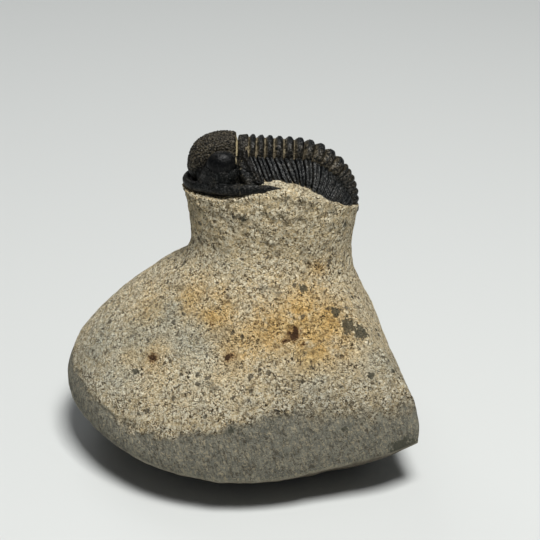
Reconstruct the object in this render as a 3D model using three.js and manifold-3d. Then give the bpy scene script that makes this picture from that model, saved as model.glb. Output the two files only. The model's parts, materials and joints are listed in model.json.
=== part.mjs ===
// A curled trilobite, prepared out of its rock and left standing on a pedestal of limestone.
// X runs from the head (low X) to the tail, Y across the animal, Z up. Millimetres.
// The animal is laid out along a body line: s runs back along its crest, v across it and
// n up from the crest, so that each plate is a slab of the same arch.
import * as THREE from "three";
import { mergeVertices } from "three/addons/utils/BufferGeometryUtils.js";
import Module from "manifold-3d";

const wasm = await Module();
wasm.setup();

const { clamp, degToRad, euclideanModulo, lerp } = THREE.MathUtils;

// ---- Driving dimensions -------------------------------------------------------------------

const PIECE_GAP = 0.3; // the line of sediment between neighbouring pieces

// The stone's outline, as heights and radii at equal steps of angle round STONE_CENTRE_X,
// counted from the tail end (+X) towards the far side (+Y).
const STONE_CENTRE_X = 3;
const OUTER_RADII = [
  26, 23.5, 21.5, 21, 21.8, 23.4, 25.6, 28, 29.1, 28, 26.8, 25.6, 24.2, 24, 27, 28.5,
];
const RIM_HEIGHTS = [
  12.2, 12, 12, 12, 12, 12, 12.2, 12.4, 12.2, 12.2, 10.2, 11.8, 15.4, 14.9, 13.8, 12.8,
];
const LOWER_EDGE_HEIGHTS = [7.8, 6.6, 6, 7, 8.2, 6.4, 5.3, 7];
const NECK_RADII = [12.5, 9.8, 8.2, 9, 10.2, 9.2, 8.2, 10.2];
const NECK_HEIGHTS = [27, 28, 28.5, 28.5, 29.3, 30.6, 30.6, 29];
const SLOPE_POWERS = [0.84, 0.88, 0.8, 0.7, 0.72, 0.9, 0.96, 0.9];
const TOP_RADII = [13.5, 10, 7.6, 9.2, 11.6, 9.2, 7.6, 10];
const TOP_HEIGHTS = [35.2, 41, 41.8, 40.4, 39, 40.4, 41.8, 41];
const RIM_INSET = 0.7;
const NECK_FLARE_POWER = 2.2;
const BROKEN_SIDE_DISTANCE = 19.6; // the straight break on the tail side
const BROKEN_SIDE_ANGLE = degToRad(8.5);
const FOOT_SHARE = 0.52; // the flat foot, as a share of the outer radius
const UNDERSIDE_SHARE = 0.82;
const UNDERSIDE_RISE = 0.42;
const STONE_SECTORS = 56;
const SLOPE_ROWS = 6;
const NECK_ROWS = 4;
const TOP_CENTRE_HEIGHT = 41;

// The body line: straight over the back, then curled down behind.
const CREST_START = new THREE.Vector2(0.95, 46.6);
const BACK_PITCH = degToRad(3.5);
const STRAIGHT_LENGTH = 6.65;
const CURL_RADIUS = 9.5;
const CURL_ANGLE = Math.PI / 2 - BACK_PITCH;

// The thorax: ten segments that lengthen towards the tail.
const SEGMENT_COUNT = 10;
const THORAX_START = -0.25;
const FIRST_PITCH = 1.2;
const PITCH_GROWTH = 0.0722;
const AXIS_HALF_WIDTH = 2.5;
const AXIS_HALF_WIDTH_REAR = 1.9;
const RING_HEIGHT = 1.85;
const FLANK_HALF_WIDTH = 5.9;
const FLANK_DROP = 2.6;
const FLANK_BULGE = 0.3;
const FLANK_SWEEP = 1.7;
const SWEEP_POWER = 1.6;
const PLATE_THICKNESS = 0.9;

// The tail shield.
const PYGIDIUM_LENGTH = 8.4;
const PYGIDIUM_TIP_SHARE = 0.3;
const PYGIDIUM_TIP_RING = 0.3;
const PYGIDIUM_TIP_DROP = 0.5;
const PYGIDIUM_TIP_AXIS = 0.42;
const PYGIDIUM_CLOSING_POWER = 2.2;

// The head, in a frame of its own: x back from the hind margin, z up from the border's top.
const HEAD_ORIGIN = new THREE.Vector3(0.3, 0, 42);
const HEAD_PITCH = degToRad(7.2);
const HEAD_LENGTH = 9;
const HEAD_HALF_WIDTH = 7.3;
const BORDER_THICKNESS = 1.9;
const BORDER_BEVEL = 0.45;
const BORDER_STEPS = 20;
const SPINE_REACH = 5.3;
const SPINE_OFFSET = 7;
const SPINE_ROOT = 5.7;
const SPINE_TIP_HALF_WIDTH = 0.42;
const SPINE_TAPER = 0.6;
const GLABELLA = { centre: [-3, 0, 0.4], half: [4.9, 3.1, 5.2], facets: 24 };
const CHEEKS = { centre: [-3.8, 0, -0.8], half: [4.5, 6.3, 4.3], facets: 24 };
const EYE = { centre: [-2.9, 4.15, 2.4], half: [2.1, 1.3, 1.85], facets: 16 };
const OCCIPITAL_RING = { front: -1.65, length: 1.2, depth: 2.5 };
const HEAD_BACK = 0.35;
const GLABELLA_BACK = -0.95;
const EYE_BASE_DEPTH = 1.2;
const SUTURE = [
  [-10, 3.3], [-6.4, 3.3], [-4.6, 3.6], [-2.9, 4.15], [-1.3, 3.7], [-0.6, 4.3], [1.6, 5.3],
];
const HEAD_REACH = 12; // past every part of the head, for the blocks that cut it

// ---- Finishes -----------------------------------------------------------------------------

const LIMESTONE = { color: 0xa39880, roughness: 0.92, metalness: 0 };
const SHELL = { color: 0x24211e, roughness: 0.5, metalness: 0 };
const EYE_SURFACE = { color: 0x1c1a18, roughness: 0.38, metalness: 0 };

// ---- Helpers ------------------------------------------------------------------------------

// A smooth closed curve through equally spaced values, as a function of an angle.
function roundCurve(values) {
  const count = values.length;
  return (angle) => {
    const place = euclideanModulo(angle / (2 * Math.PI), 1) * count;
    const first = Math.floor(place);
    const valueAt = (step) => values[(first + step + count) % count];
    const near = [-1, 0, 1, 2].map((step) => new THREE.Vector2(step, valueAt(step)));
    return new THREE.SplineCurve(near).getPoint((1 + place - first) / 3).y;
  };
}

// A closed geometry as a solid that can be joined and cut.
function solidOf(geometry) {
  const bare = geometry.clone();
  bare.deleteAttribute("normal");
  bare.deleteAttribute("uv");
  const merged = mergeVertices(bare, 1e-4);
  return new wasm.Manifold(new wasm.Mesh({
    numProp: 3,
    vertProperties: merged.attributes.position.array,
    triVerts: new Uint32Array(merged.index.array),
  }));
}

// The solid's largest body, without the crumbs that a cut leaves.
function mainBody(solid) {
  return solid.decompose().reduce((a, b) => (b.volume() > a.volume() ? b : a));
}

function namedMesh(name, solid, finish) {
  const { vertProperties, triVerts } = mainBody(solid).getMesh();
  const geometry = new THREE.BufferGeometry();
  geometry.setAttribute("position", new THREE.BufferAttribute(vertProperties, 3));
  geometry.setIndex(new THREE.BufferAttribute(triVerts, 1));
  geometry.computeVertexNormals();
  const mesh = new THREE.Mesh(geometry, new THREE.MeshStandardMaterial(finish));
  mesh.name = name;
  return mesh;
}

// Moves every vertex of a geometry by a function of its place.
function reshape(geometry, place) {
  const position = geometry.attributes.position;
  for (let i = 0; i < position.count; i += 1) {
    const p = place(position.getX(i), position.getY(i), position.getZ(i));
    position.setXYZ(i, p.x, p.y, p.z);
  }
  return geometry;
}

// ---- Body line ----------------------------------------------------------------------------

// How far the body line has turned down at s, past the pitch of the back.
function curlAt(s) {
  return clamp((s - STRAIGHT_LENGTH) / CURL_RADIUS, 0, CURL_ANGLE);
}

function bodyPoint(s, v, n) {
  const heading = BACK_PITCH + curlAt(s);
  const straight = Math.min(s, STRAIGHT_LENGTH);
  const hanging = Math.max(0, s - STRAIGHT_LENGTH - CURL_RADIUS * CURL_ANGLE);
  const alongX = Math.sin(heading) - Math.sin(BACK_PITCH);
  const alongZ = Math.cos(heading) - Math.cos(BACK_PITCH);
  return new THREE.Vector3(
    CREST_START.x + straight * Math.cos(BACK_PITCH) + CURL_RADIUS * alongX + n * Math.sin(heading),
    v,
    CREST_START.y - straight * Math.sin(BACK_PITCH) + CURL_RADIUS * alongZ - hanging + n * Math.cos(heading),
  );
}

// The gap, as a length of s, that leaves PIECE_GAP at depth n inside the curl.
function gapAt(s, n) {
  return curlAt(s) > 0 ? (PIECE_GAP * CURL_RADIUS) / (CURL_RADIUS + n) : PIECE_GAP;
}

// ---- Arched plates ------------------------------------------------------------------------

const THORAX_LENGTH = SEGMENT_COUNT * (FIRST_PITCH + (PITCH_GROWTH * (SEGMENT_COUNT - 1)) / 2);
const PYGIDIUM_START = THORAX_START + THORAX_LENGTH;

// The arch's sizes at s: it keeps its width along the thorax and closes in over the tail shield.
function archAt(s) {
  const along = clamp((s - THORAX_START) / THORAX_LENGTH, 0, 1);
  const tail = clamp((s - PYGIDIUM_START) / PYGIDIUM_LENGTH, 0, 1);
  const closing = Math.sqrt(1 - tail ** PYGIDIUM_CLOSING_POWER * (1 - PYGIDIUM_TIP_SHARE ** 2));
  const opening = (closing - PYGIDIUM_TIP_SHARE) / (1 - PYGIDIUM_TIP_SHARE);
  return {
    axis: lerp(AXIS_HALF_WIDTH, AXIS_HALF_WIDTH_REAR, along) * lerp(1, PYGIDIUM_TIP_AXIS, tail),
    ring: lerp(RING_HEIGHT, PYGIDIUM_TIP_RING, tail ** 1.5),
    width: FLANK_HALF_WIDTH * closing,
    drop: lerp(PYGIDIUM_TIP_DROP, FLANK_DROP, opening),
  };
}

// Height of the outer surface at a share u of the half width: a ring, then a falling flank.
function outerHeight(arch, u) {
  const v = Math.abs(u) * arch.width;
  if (v < arch.axis) return arch.ring * (Math.sqrt(1 - (v / arch.axis) ** 2) - 1);
  const w = (v - arch.axis) / (arch.width - arch.axis);
  return -arch.ring + FLANK_BULGE * Math.sin(Math.PI * w) * (1 - w) - arch.drop * w * w;
}

// How far back the flank leans at a share u of the half width.
function sweepAt(u) {
  const beyondAxis = Math.abs(u) * FLANK_HALF_WIDTH - AXIS_HALF_WIDTH;
  const w = Math.max(0, beyondAxis / (FLANK_HALF_WIDTH - AXIS_HALF_WIDTH));
  return FLANK_SWEEP * w ** SWEEP_POWER;
}

const CORE_START = 0.35;
const CORE_END = PYGIDIUM_START + PYGIDIUM_LENGTH - 0.25;
const CORE_FLOOR = -7.6;

// Places across an arch, as shares of its half width.
const ARCH_SHARES = [0.04, 0.13, 0.23, 0.32, 0.38, 0.42, 0.52, 0.66, 0.8, 0.91, 1];
const BEYOND_EDGE = 1.1; // the share of a point that stands outside the plate's edge

// An arched slab from s = start to start + length. Its outer face lies outside the shell by
// grow.outer, its inner face is grow.inner below the shell or flat at grow.floor, grow.side
// widens it, and grow.gap draws its ends in by half a gap.
function archedSlab(start, length, steps, grow, swept = true) {
  const outerFace = (arch, u) => outerHeight(arch, clamp(u, -1, 1)) + grow.outer;
  const innerFace = (arch, u) => grow.floor ?? outerHeight(arch, clamp(u, -1, 1)) - grow.inner;
  const half = grow.side > 0 ? [...ARCH_SHARES, BEYOND_EDGE] : ARCH_SHARES;
  const shares = [...half.map((u) => -u).reverse(), ...half];
  const typical = archAt(start + length * 0.3);
  const section = new THREE.Shape([
    ...shares.map((u) => new THREE.Vector2(u, outerFace(typical, u))),
    ...shares.reverse().map((u) => new THREE.Vector2(u, innerFace(typical, u))),
  ]);
  const slab = new THREE.ExtrudeGeometry(section, { depth: 1, steps, bevelEnabled: false });
  return solidOf(reshape(slab, (share, height, depth) => {
    const u = clamp(share, -1, 1);
    const halfway = (outerFace(typical, u) + innerFace(typical, u)) / 2;
    const middle = start + length * depth;
    const arch = archAt(middle);
    const n = height > halfway ? outerFace(arch, u) : innerFace(arch, u);
    const cut = (grow.gap ?? 0) * gapAt(middle, n) * (0.5 - depth);
    const side = share === u ? Math.min(0, grow.side) * u : grow.side * u;
    return bodyPoint(middle + cut + (swept ? sweepAt(u) : 0), u * arch.width + side, n);
  }));
}

// ---- Stone --------------------------------------------------------------------------------

// The rows of the stone from the foot up, each a function of the angle giving [radius, height].
function stoneRows() {
  const [outer, rim, lower, neckR, neckZ, power, topR, topZ] = [
    OUTER_RADII, RIM_HEIGHTS, LOWER_EDGE_HEIGHTS, NECK_RADII,
    NECK_HEIGHTS, SLOPE_POWERS, TOP_RADII, TOP_HEIGHTS,
  ].map(roundCurve);
  const edge = (a) => {
    const facing = Math.cos(a - BROKEN_SIDE_ANGLE);
    return Math.min(outer(a), facing > 0.05 ? BROKEN_SIDE_DISTANCE / facing : Infinity);
  };
  const rows = [
    (a) => [edge(a) * FOOT_SHARE, 0],
    (a) => [edge(a) * UNDERSIDE_SHARE, lower(a) * UNDERSIDE_RISE],
    (a) => [edge(a), lower(a)],
  ];
  for (let i = 0; i <= SLOPE_ROWS; i += 1) {
    const t = i / SLOPE_ROWS;
    rows.push((a) => [lerp(edge(a) - RIM_INSET, neckR(a), t), lerp(rim(a), neckZ(a), t ** power(a))]);
  }
  for (let i = 1; i <= NECK_ROWS; i += 1) {
    const t = i / NECK_ROWS;
    rows.push((a) => [lerp(neckR(a), topR(a), t ** NECK_FLARE_POWER), lerp(neckZ(a), topZ(a), t)]);
  }
  return rows;
}

// The block and its pedestal, turned on a lathe in row numbers and then set to the rows.
function pedestal() {
  const rows = stoneRows();
  const profile = [
    new THREE.Vector2(0, 0),
    ...rows.map((_, i) => new THREE.Vector2(1, i)),
    new THREE.Vector2(0, rows.length - 1),
  ];
  const lathe = new THREE.LatheGeometry(profile, STONE_SECTORS);
  return solidOf(reshape(lathe, (x, level, z) => {
    const onAxis = Math.hypot(x, z) < 0.5;
    if (onAxis) return new THREE.Vector3(STONE_CENTRE_X, 0, level > 0 ? TOP_CENTRE_HEIGHT : 0);
    const angle = Math.atan2(-z, x);
    const [radius, height] = rows[Math.round(level)](angle);
    return new THREE.Vector3(STONE_CENTRE_X + radius * Math.cos(angle), radius * Math.sin(angle), height);
  }));
}

// ---- Head ---------------------------------------------------------------------------------

const headFrame = new THREE.Matrix4()
  .makeTranslation(HEAD_ORIGIN.x, HEAD_ORIGIN.y, HEAD_ORIGIN.z)
  .multiply(new THREE.Matrix4().makeRotationY(-HEAD_PITCH));

function inHead(geometry) {
  return solidOf(geometry.applyMatrix4(headFrame));
}

function ellipsoid({ centre, half, facets }, grow = 0) {
  const ball = new THREE.SphereGeometry(1, facets, Math.round(facets * 0.6));
  ball.scale(half[0] + grow, half[1] + grow, half[2] + grow);
  return inHead(ball.translate(...centre));
}

// A box in the head frame, from its low corner to its high corner.
function headBox(low, high) {
  const size = high.map((value, i) => value - low[i]);
  const box = new THREE.BoxGeometry(...size);
  return inHead(box.translate(...low.map((value, i) => value + size[i] / 2)));
}

// The head's outline from above: a half ellipse with a genal spine at each hind corner.
function headOutline(grow) {
  const outline = new THREE.Shape();
  const tip = SPINE_TIP_HALF_WIDTH + grow;
  outline.moveTo(HEAD_BACK + grow, -SPINE_ROOT + grow);
  outline.lineTo(SPINE_REACH + grow, -SPINE_OFFSET + tip);
  outline.lineTo(SPINE_REACH + grow, -SPINE_OFFSET - tip);
  for (let i = 0; i <= BORDER_STEPS; i += 1) {
    const angle = lerp(-Math.PI / 2, Math.PI / 2, i / BORDER_STEPS);
    const length = (HEAD_LENGTH + grow) * Math.cos(angle);
    outline.lineTo(-length, (HEAD_HALF_WIDTH + grow) * Math.sin(angle));
  }
  outline.lineTo(SPINE_REACH + grow, SPINE_OFFSET + tip);
  outline.lineTo(SPINE_REACH + grow, SPINE_OFFSET - tip);
  outline.lineTo(HEAD_BACK + grow, SPINE_ROOT - grow);
  outline.closePath();
  return outline;
}

// The rolled border with its spines, which thin out towards their tips.
function border() {
  const bevelSize = BORDER_BEVEL * 0.8;
  const plate = new THREE.ExtrudeGeometry(headOutline(-bevelSize), {
    depth: BORDER_THICKNESS - 2 * BORDER_BEVEL,
    bevelSize,
    bevelThickness: BORDER_BEVEL,
    bevelSegments: 2,
  });
  plate.translate(0, 0, BORDER_BEVEL - BORDER_THICKNESS);
  const middle = -BORDER_THICKNESS / 2;
  return inHead(reshape(plate, (x, y, z) => {
    const thin = 1 - SPINE_TAPER * clamp(x / SPINE_REACH, 0, 1);
    return new THREE.Vector3(x, y, middle + (z - middle) * thin);
  }));
}

// Everything between the two facial sutures, each moved outwards by shift.
function betweenSutures(shift) {
  const points = SUTURE.map(([x, y]) => new THREE.Vector2(x, y + shift));
  const side = new THREE.SplineCurve(points).getPoints(16);
  const outline = new THREE.Shape(side);
  side.reverse().forEach((p) => outline.lineTo(p.x, -p.y));
  outline.closePath();
  const prism = new THREE.ExtrudeGeometry(outline, { depth: 2 * HEAD_REACH, bevelEnabled: false });
  return inHead(prism.translate(0, 0, -HEAD_REACH));
}

// ---- Assembly -----------------------------------------------------------------------------

const fossil = new THREE.Group();

// The rock: the pedestal, and the core that fills the animal, cut clear of every plate.
const clearance = { outer: 6, inner: PLATE_THICKNESS + PIECE_GAP, side: PIECE_GAP };
const underHead = 1.4;
const lap = 0.1;
const tailRoomLength = PYGIDIUM_LENGTH + lap + PIECE_GAP;
const bodyRoom = archedSlab(THORAX_START - underHead, THORAX_LENGTH + underHead, 9, clearance)
  .add(archedSlab(PYGIDIUM_START - lap, tailRoomLength, 6, clearance));
const coreShape = { outer: -PLATE_THICKNESS - PIECE_GAP, floor: CORE_FLOOR, side: -PIECE_GAP };
const core = archedSlab(CORE_START, CORE_END - CORE_START, 10, coreShape, false);
const headRoomBlock = new THREE.ExtrudeGeometry(headOutline(PIECE_GAP), {
  depth: 2 * HEAD_REACH,
  bevelEnabled: false,
});
const headRoom = inHead(headRoomBlock.translate(0, 0, -BORDER_THICKNESS - PIECE_GAP));
const matrix = pedestal().add(core).subtract(bodyRoom).subtract(headRoom);
fossil.add(namedMesh("limestone_matrix", matrix, LIMESTONE));

// The head: one middle piece, and outside each facial suture a free cheek and an eye.
const far = HEAD_REACH;
const eyeBall = (side, grow = 0) => {
  const [x, y, z] = EYE.centre;
  return ellipsoid({ ...EYE, centre: [x, side * y, z] }, grow);
};
const behindNose = headBox([-far, -far, -BORDER_THICKNESS], [GLABELLA_BACK, far, far]);
const glabella = ellipsoid(GLABELLA).intersect(behindNose);
const aboveFloor = headBox([-far, -far, -BORDER_THICKNESS - 0.01], [HEAD_BACK, far, far]);
const cheeks = ellipsoid(CHEEKS).intersect(aboveFloor);
const plate = border();
const occipitalRing = archedSlab(OCCIPITAL_RING.front, OCCIPITAL_RING.length, 2,
  { outer: 0, inner: OCCIPITAL_RING.depth, side: 0 }, false);
const cranidium = glabella.add(cheeks).add(plate).add(occipitalRing)
  .add(eyeBall(-1)).add(eyeBall(1))
  .intersect(betweenSutures(-PIECE_GAP / 2));
fossil.add(namedMesh("cranidium", cranidium, SHELL));

for (const [label, side] of [["left", -1], ["right", 1]]) {
  const half = headBox([-far, Math.min(0, side * far), -far], [far, Math.max(0, side * far), far]);
  const outside = half.subtract(betweenSutures(PIECE_GAP / 2));
  const overCheek = headBox([-far, -far, EYE.centre[2] - EYE_BASE_DEPTH], [far, far, far]);
  const lens = eyeBall(side).intersect(outside).intersect(overCheek);
  const freeCheek = plate.add(cheeks).intersect(outside).subtract(eyeBall(side, PIECE_GAP));
  fossil.add(namedMesh(`${label}_free_cheek`, freeCheek, SHELL));
  fossil.add(namedMesh(`${label}_eye`, lens, EYE_SURFACE));
}

// The back: ten segments and the tail shield.
const shell = { outer: 0, inner: PLATE_THICKNESS, side: 0 };
let segmentStart = THORAX_START;
for (let i = 0; i < SEGMENT_COUNT; i += 1) {
  const length = FIRST_PITCH + PITCH_GROWTH * i;
  const slab = archedSlab(segmentStart, length, 2, { ...shell, gap: 1 });
  fossil.add(namedMesh(`thoracic_segment_${String(i + 1).padStart(2, "0")}`, slab, SHELL));
  segmentStart += length;
}
const tailStart = PYGIDIUM_START + PIECE_GAP / 2;
const pygidium = archedSlab(tailStart, PYGIDIUM_LENGTH - PIECE_GAP, 10, shell);
fossil.add(namedMesh("pygidium", pygidium, SHELL));

// The origin is the middle of the footprint, on the plane of the foot.
const extent = new THREE.Box3().setFromObject(fossil);
const middle = extent.getCenter(new THREE.Vector3());
fossil.position.set(-middle.x, -middle.y, -extent.min.z);

export default fossil;
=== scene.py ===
"""A curled trilobite on its pedestal of limestone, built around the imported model.

Every part is laid out in millimetres in the specimen's own frame: X from the head to the tail,
Y across the animal and Z up, with the stone's axis at STONE_AXIS_X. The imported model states
where that axis meets the shelf, as the mount named foot, so the whole specimen is moved there.
"""

import json
import logging
import math
from dataclasses import dataclass
from enum import Enum, IntEnum
from itertools import product
from typing import Callable, Sequence

import bpy
import numpy as np
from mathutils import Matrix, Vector
from mathutils.kdtree import KDTree


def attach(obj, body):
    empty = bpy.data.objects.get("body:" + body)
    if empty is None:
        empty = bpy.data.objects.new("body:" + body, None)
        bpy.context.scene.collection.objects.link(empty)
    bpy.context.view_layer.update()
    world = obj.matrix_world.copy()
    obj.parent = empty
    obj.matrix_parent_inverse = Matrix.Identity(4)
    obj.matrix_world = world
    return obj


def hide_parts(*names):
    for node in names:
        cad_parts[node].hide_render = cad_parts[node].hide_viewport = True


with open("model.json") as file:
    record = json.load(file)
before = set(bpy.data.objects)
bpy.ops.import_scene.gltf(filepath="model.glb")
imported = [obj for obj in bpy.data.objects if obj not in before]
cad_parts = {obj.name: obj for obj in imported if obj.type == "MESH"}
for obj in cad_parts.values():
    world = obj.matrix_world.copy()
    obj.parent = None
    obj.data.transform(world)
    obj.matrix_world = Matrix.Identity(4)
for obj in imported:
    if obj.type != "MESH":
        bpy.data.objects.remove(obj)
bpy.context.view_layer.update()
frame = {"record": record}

Array = np.ndarray
MM = 0.001
STONE_AXIS_X = 3.0
log = logging.getLogger("trilobite")


# ---- Placing --------------------------------------------------------------------------------

def packed_shift() -> Array:
    """The move, in millimetres, from the specimen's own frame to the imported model's."""
    foot = next(m for m in frame["record"]["mounts"] if m["name"] == "foot")
    return np.array(foot["pos_m"]) / MM - np.array([STONE_AXIS_X, 0.0, 0.0])


SHIFT = packed_shift()


def to_metres(points: Array) -> Array:
    """Points of the specimen's frame, in millimetres, as packed points in metres."""
    return (np.asarray(points, float) + SHIFT) * MM


# ---- Noise ----------------------------------------------------------------------------------

def cell_value(cells: Array, seed: int) -> Array:
    """A fixed random number from 0 to 1 for each whole-number cell.

    Args:
        cells: whole numbers, the last axis of length 3.
        seed: which set of numbers to take.

    Returns:
        One number for each cell.
    """
    c = cells.astype(np.int64).astype(np.uint32)
    mixed = c[..., 0] * np.uint32(374761393) + c[..., 1] * np.uint32(668265263)
    mixed = mixed + c[..., 2] * np.uint32(2246822519) + np.uint32(seed * 97 + 13)
    mixed = (mixed ^ (mixed >> np.uint32(13))) * np.uint32(1274126177)
    mixed = (mixed ^ (mixed >> np.uint32(15))) * np.uint32(2654435761)
    mixed = mixed ^ (mixed >> np.uint32(16))
    return mixed.astype(float) / 4294967295.0


def noise(points: Array, size: float, seed: int) -> Array:
    """Smooth noise from -1 to 1.

    Args:
        points: where to read it, in millimetres.
        size: the size of its lumps, in millimetres.
        seed: which noise to take.

    Returns:
        One number for each point.
    """
    scaled = points / size
    base = np.floor(scaled)
    part = scaled - base
    part = part * part * (3 - 2 * part)
    total = np.zeros(points.shape[:-1])
    for corner in product((0, 1), repeat=3):
        weight = np.prod(np.where(np.array(corner) == 1, part, 1 - part), axis=-1)
        total += weight * cell_value(base + np.array(corner), seed)
    return total * 2 - 1


def fractal(points: Array, size: float, seed: int, octaves: int = 3, gain: float = 0.5) -> Array:
    """Noise with finer noise on top of it, from about -1 to 1.

    Args:
        points: where to read it, in millimetres.
        size: the size of its largest lumps, in millimetres.
        seed: which noise to take.
        octaves: how many layers, each half the size of the one before.
        gain: how strong each layer is against the one before.

    Returns:
        One number for each point.
    """
    total = np.zeros(points.shape[:-1])
    strength, reach = 1.0, 0.0
    for layer in range(octaves):
        total += strength * noise(points, size / 2 ** layer, seed + layer)
        reach += strength
        strength *= gain
    return total / reach


def pits(points: Array, size: float, seed: int, share: float) -> Array:
    """Round hollows scattered through space, 1 at a hollow's middle and 0 outside it.

    Args:
        points: where to read them, in millimetres.
        size: the spacing of the cells that a hollow may lie in.
        seed: which scatter to take.
        share: the share of the cells that hold a hollow.

    Returns:
        One number for each point.
    """
    base = np.floor(points / size)
    deepest = np.zeros(points.shape[:-1])
    for step in product((-1, 0, 1), repeat=3):
        cell = base + np.array(step)
        jitter = np.stack([cell_value(cell, seed + k) for k in (1, 2, 3)], -1)
        radius = size * (0.28 + 0.3 * cell_value(cell, seed + 4))
        held = cell_value(cell, seed + 5) < share
        gap = np.linalg.norm(points - (cell + jitter) * size, axis=-1) / radius
        deepest = np.maximum(deepest, np.where(held & (gap < 1), (1 - gap ** 2), 0))
    return deepest


def ease(low: float, high: float, value: Array) -> Array:
    """A smooth step from 0 at low to 1 at high."""
    t = np.clip((value - low) / (high - low), 0, 1)
    return t * t * (3 - 2 * t)


def bell(value: Array, width: float) -> Array:
    """A bell curve, 1 at zero."""
    return np.exp(-(value / width) ** 2)


def around(values: Sequence[float], angles: Array) -> Array:
    """A smooth closed curve through values at equal steps of angle.

    Args:
        values: the values, the first at angle 0.
        angles: where to read the curve, in radians.

    Returns:
        One number for each angle.
    """
    v = np.asarray(values, float)
    count = len(v)
    place = (angles / (2 * np.pi)) % 1 * count
    i = np.floor(place).astype(int)
    f = place - i
    before, here, after, beyond = (v[(i + k) % count] for k in (-1, 0, 1, 2))
    curve = (2 * before - 5 * here + 4 * after - beyond) * f ** 2
    curve += (3 * here - before - 3 * after + beyond) * f ** 3
    return 0.5 * (2 * here + (after - before) * f + curve)


# ---- Meshes ---------------------------------------------------------------------------------

def grid_faces(rows: int, columns: int, closed: bool) -> Array:
    """The four-sided faces between the points of a grid.

    Args:
        rows: how many rows of points.
        columns: how many points in a row.
        closed: whether each row's last point joins its first.

    Returns:
        Four point numbers for each face.
    """
    r, c = np.meshgrid(np.arange(rows - 1), np.arange(columns if closed else columns - 1), indexing="ij")
    nxt = (c + 1) % columns
    corners = [r * columns + c, r * columns + nxt, (r + 1) * columns + nxt, (r + 1) * columns + c]
    return np.stack([k.ravel() for k in corners], -1)


def new_mesh(name: str, points: Array, faces: Sequence[Sequence[int]]) -> bpy.types.Object:
    """A smooth-shaded mesh object from points of the specimen's frame.

    Args:
        name: the object's name.
        points: its points, in millimetres.
        faces: its faces, as lists of point numbers.

    Returns:
        The new object, linked to the scene.
    """
    mesh = bpy.data.meshes.new(name)
    mesh.from_pydata(to_metres(points).tolist(), [], [list(map(int, f)) for f in faces])
    mesh.validate()
    mesh.polygons.foreach_set("use_smooth", np.ones(len(mesh.polygons), bool))
    piece = bpy.data.objects.new(name, mesh)
    bpy.context.scene.collection.objects.link(piece)
    return piece


def loft(name: str, loops: Array, flip: bool = False) -> bpy.types.Object:
    """A closed solid through loops of points, with a cap on each end.

    Args:
        name: the object's name.
        loops: the points, a row for each loop, in millimetres.
        flip: whether the loops run the other way round.

    Returns:
        The new object.
    """
    rows, columns = loops.shape[:2]
    faces = grid_faces(rows, columns, True).tolist()
    faces.append(list(reversed(range(columns))))
    faces.append([(rows - 1) * columns + k for k in range(columns)])
    if flip:
        faces = [face[::-1] for face in faces]
    return new_mesh(name, loops.reshape(-1, 3), faces)


def points_of(piece: bpy.types.Object) -> Array:
    """A piece's points in the specimen's frame.

    Args:
        piece: the piece.

    Returns:
        Its points, in millimetres.
    """
    flat = np.zeros(len(piece.data.vertices) * 3, np.float32)
    piece.data.vertices.foreach_get("co", flat)
    return flat.reshape(-1, 3).astype(float) / MM - SHIFT


def normals_of(piece: bpy.types.Object) -> Array:
    """A piece's outward directions at its points.

    Args:
        piece: the piece.

    Returns:
        A direction of length 1 for each point.
    """
    flat = np.zeros(len(piece.data.vertices) * 3, np.float32)
    piece.data.vertex_normals.foreach_get("vector", flat)
    return flat.reshape(-1, 3).astype(float)


def move_points(piece: bpy.types.Object, points: Array) -> None:
    """Puts a piece's points at new places of the specimen's frame, in millimetres."""
    piece.data.vertices.foreach_set("co", to_metres(points).astype(np.float32).ravel())
    piece.data.update()


def push_out(piece: bpy.types.Object, amount: Array) -> None:
    """Moves each point of a piece outwards by an amount in millimetres."""
    move_points(piece, points_of(piece) + normals_of(piece) * amount[:, None])


def paint(piece: bpy.types.Object, name: str, values: Array) -> None:
    """Stores one number for each point of a piece, for its finish to read."""
    layer = piece.data.attributes.new(name, "FLOAT", "POINT")
    layer.data.foreach_set("value", np.asarray(values, np.float32).ravel())


def bake_modifiers(piece: bpy.types.Object) -> None:
    """Replaces a piece's mesh by what its modifiers make of it.

    Args:
        piece: the piece.
    """
    graph = bpy.context.evaluated_depsgraph_get()
    shaped = bpy.data.meshes.new_from_object(piece.evaluated_get(graph))
    piece.modifiers.clear()
    old = piece.data
    piece.data = shaped
    bpy.data.meshes.remove(old)
    shaped.polygons.foreach_set("use_smooth", np.ones(len(shaped.polygons), bool))


def refine(piece: bpy.types.Object, levels: int) -> None:
    """Rounds a piece with subdivision and keeps the result.

    Args:
        piece: the piece.
        levels: how many times it is subdivided.
    """
    rounder = piece.modifiers.new("rounder", "SUBSURF")
    rounder.levels = levels
    rounder.render_levels = levels
    bake_modifiers(piece)


def finish_piece(piece: bpy.types.Object, nodes: Sequence[str], slot: str,
                 finish: bpy.types.Material) -> None:
    """Dresses a piece, ties it to the body, hides the CAD nodes that it stands for and logs its slot.

    Args:
        piece: the piece.
        nodes: the CAD nodes that it stands for.
        slot: its material slot.
        finish: its material.
    """
    piece.data.materials.clear()
    piece.data.materials.append(finish)
    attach(piece, "root")
    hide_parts(*nodes)
    log.info("%s: %d faces, slot %s", piece.name, len(piece.data.polygons), slot)


# ---- Finishes -------------------------------------------------------------------------------

Tone = tuple[int, int, int]
Colour = tuple[float, float, float, float]


def tone(red: int, green: int, blue: int) -> Colour:
    """A display colour as the linear colour that a shader takes.

    Args:
        red: its red, 0 to 255.
        green: its green, 0 to 255.
        blue: its blue, 0 to 255.

    Returns:
        The linear colour, opaque.
    """
    def linear(c: float) -> float:
        """One channel as a linear value."""
        c /= 255
        return c / 12.92 if c <= 0.04045 else ((c + 0.055) / 1.055) ** 2.4
    return (linear(red), linear(green), linear(blue), 1.0)


Socket = bpy.types.NodeSocket


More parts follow.
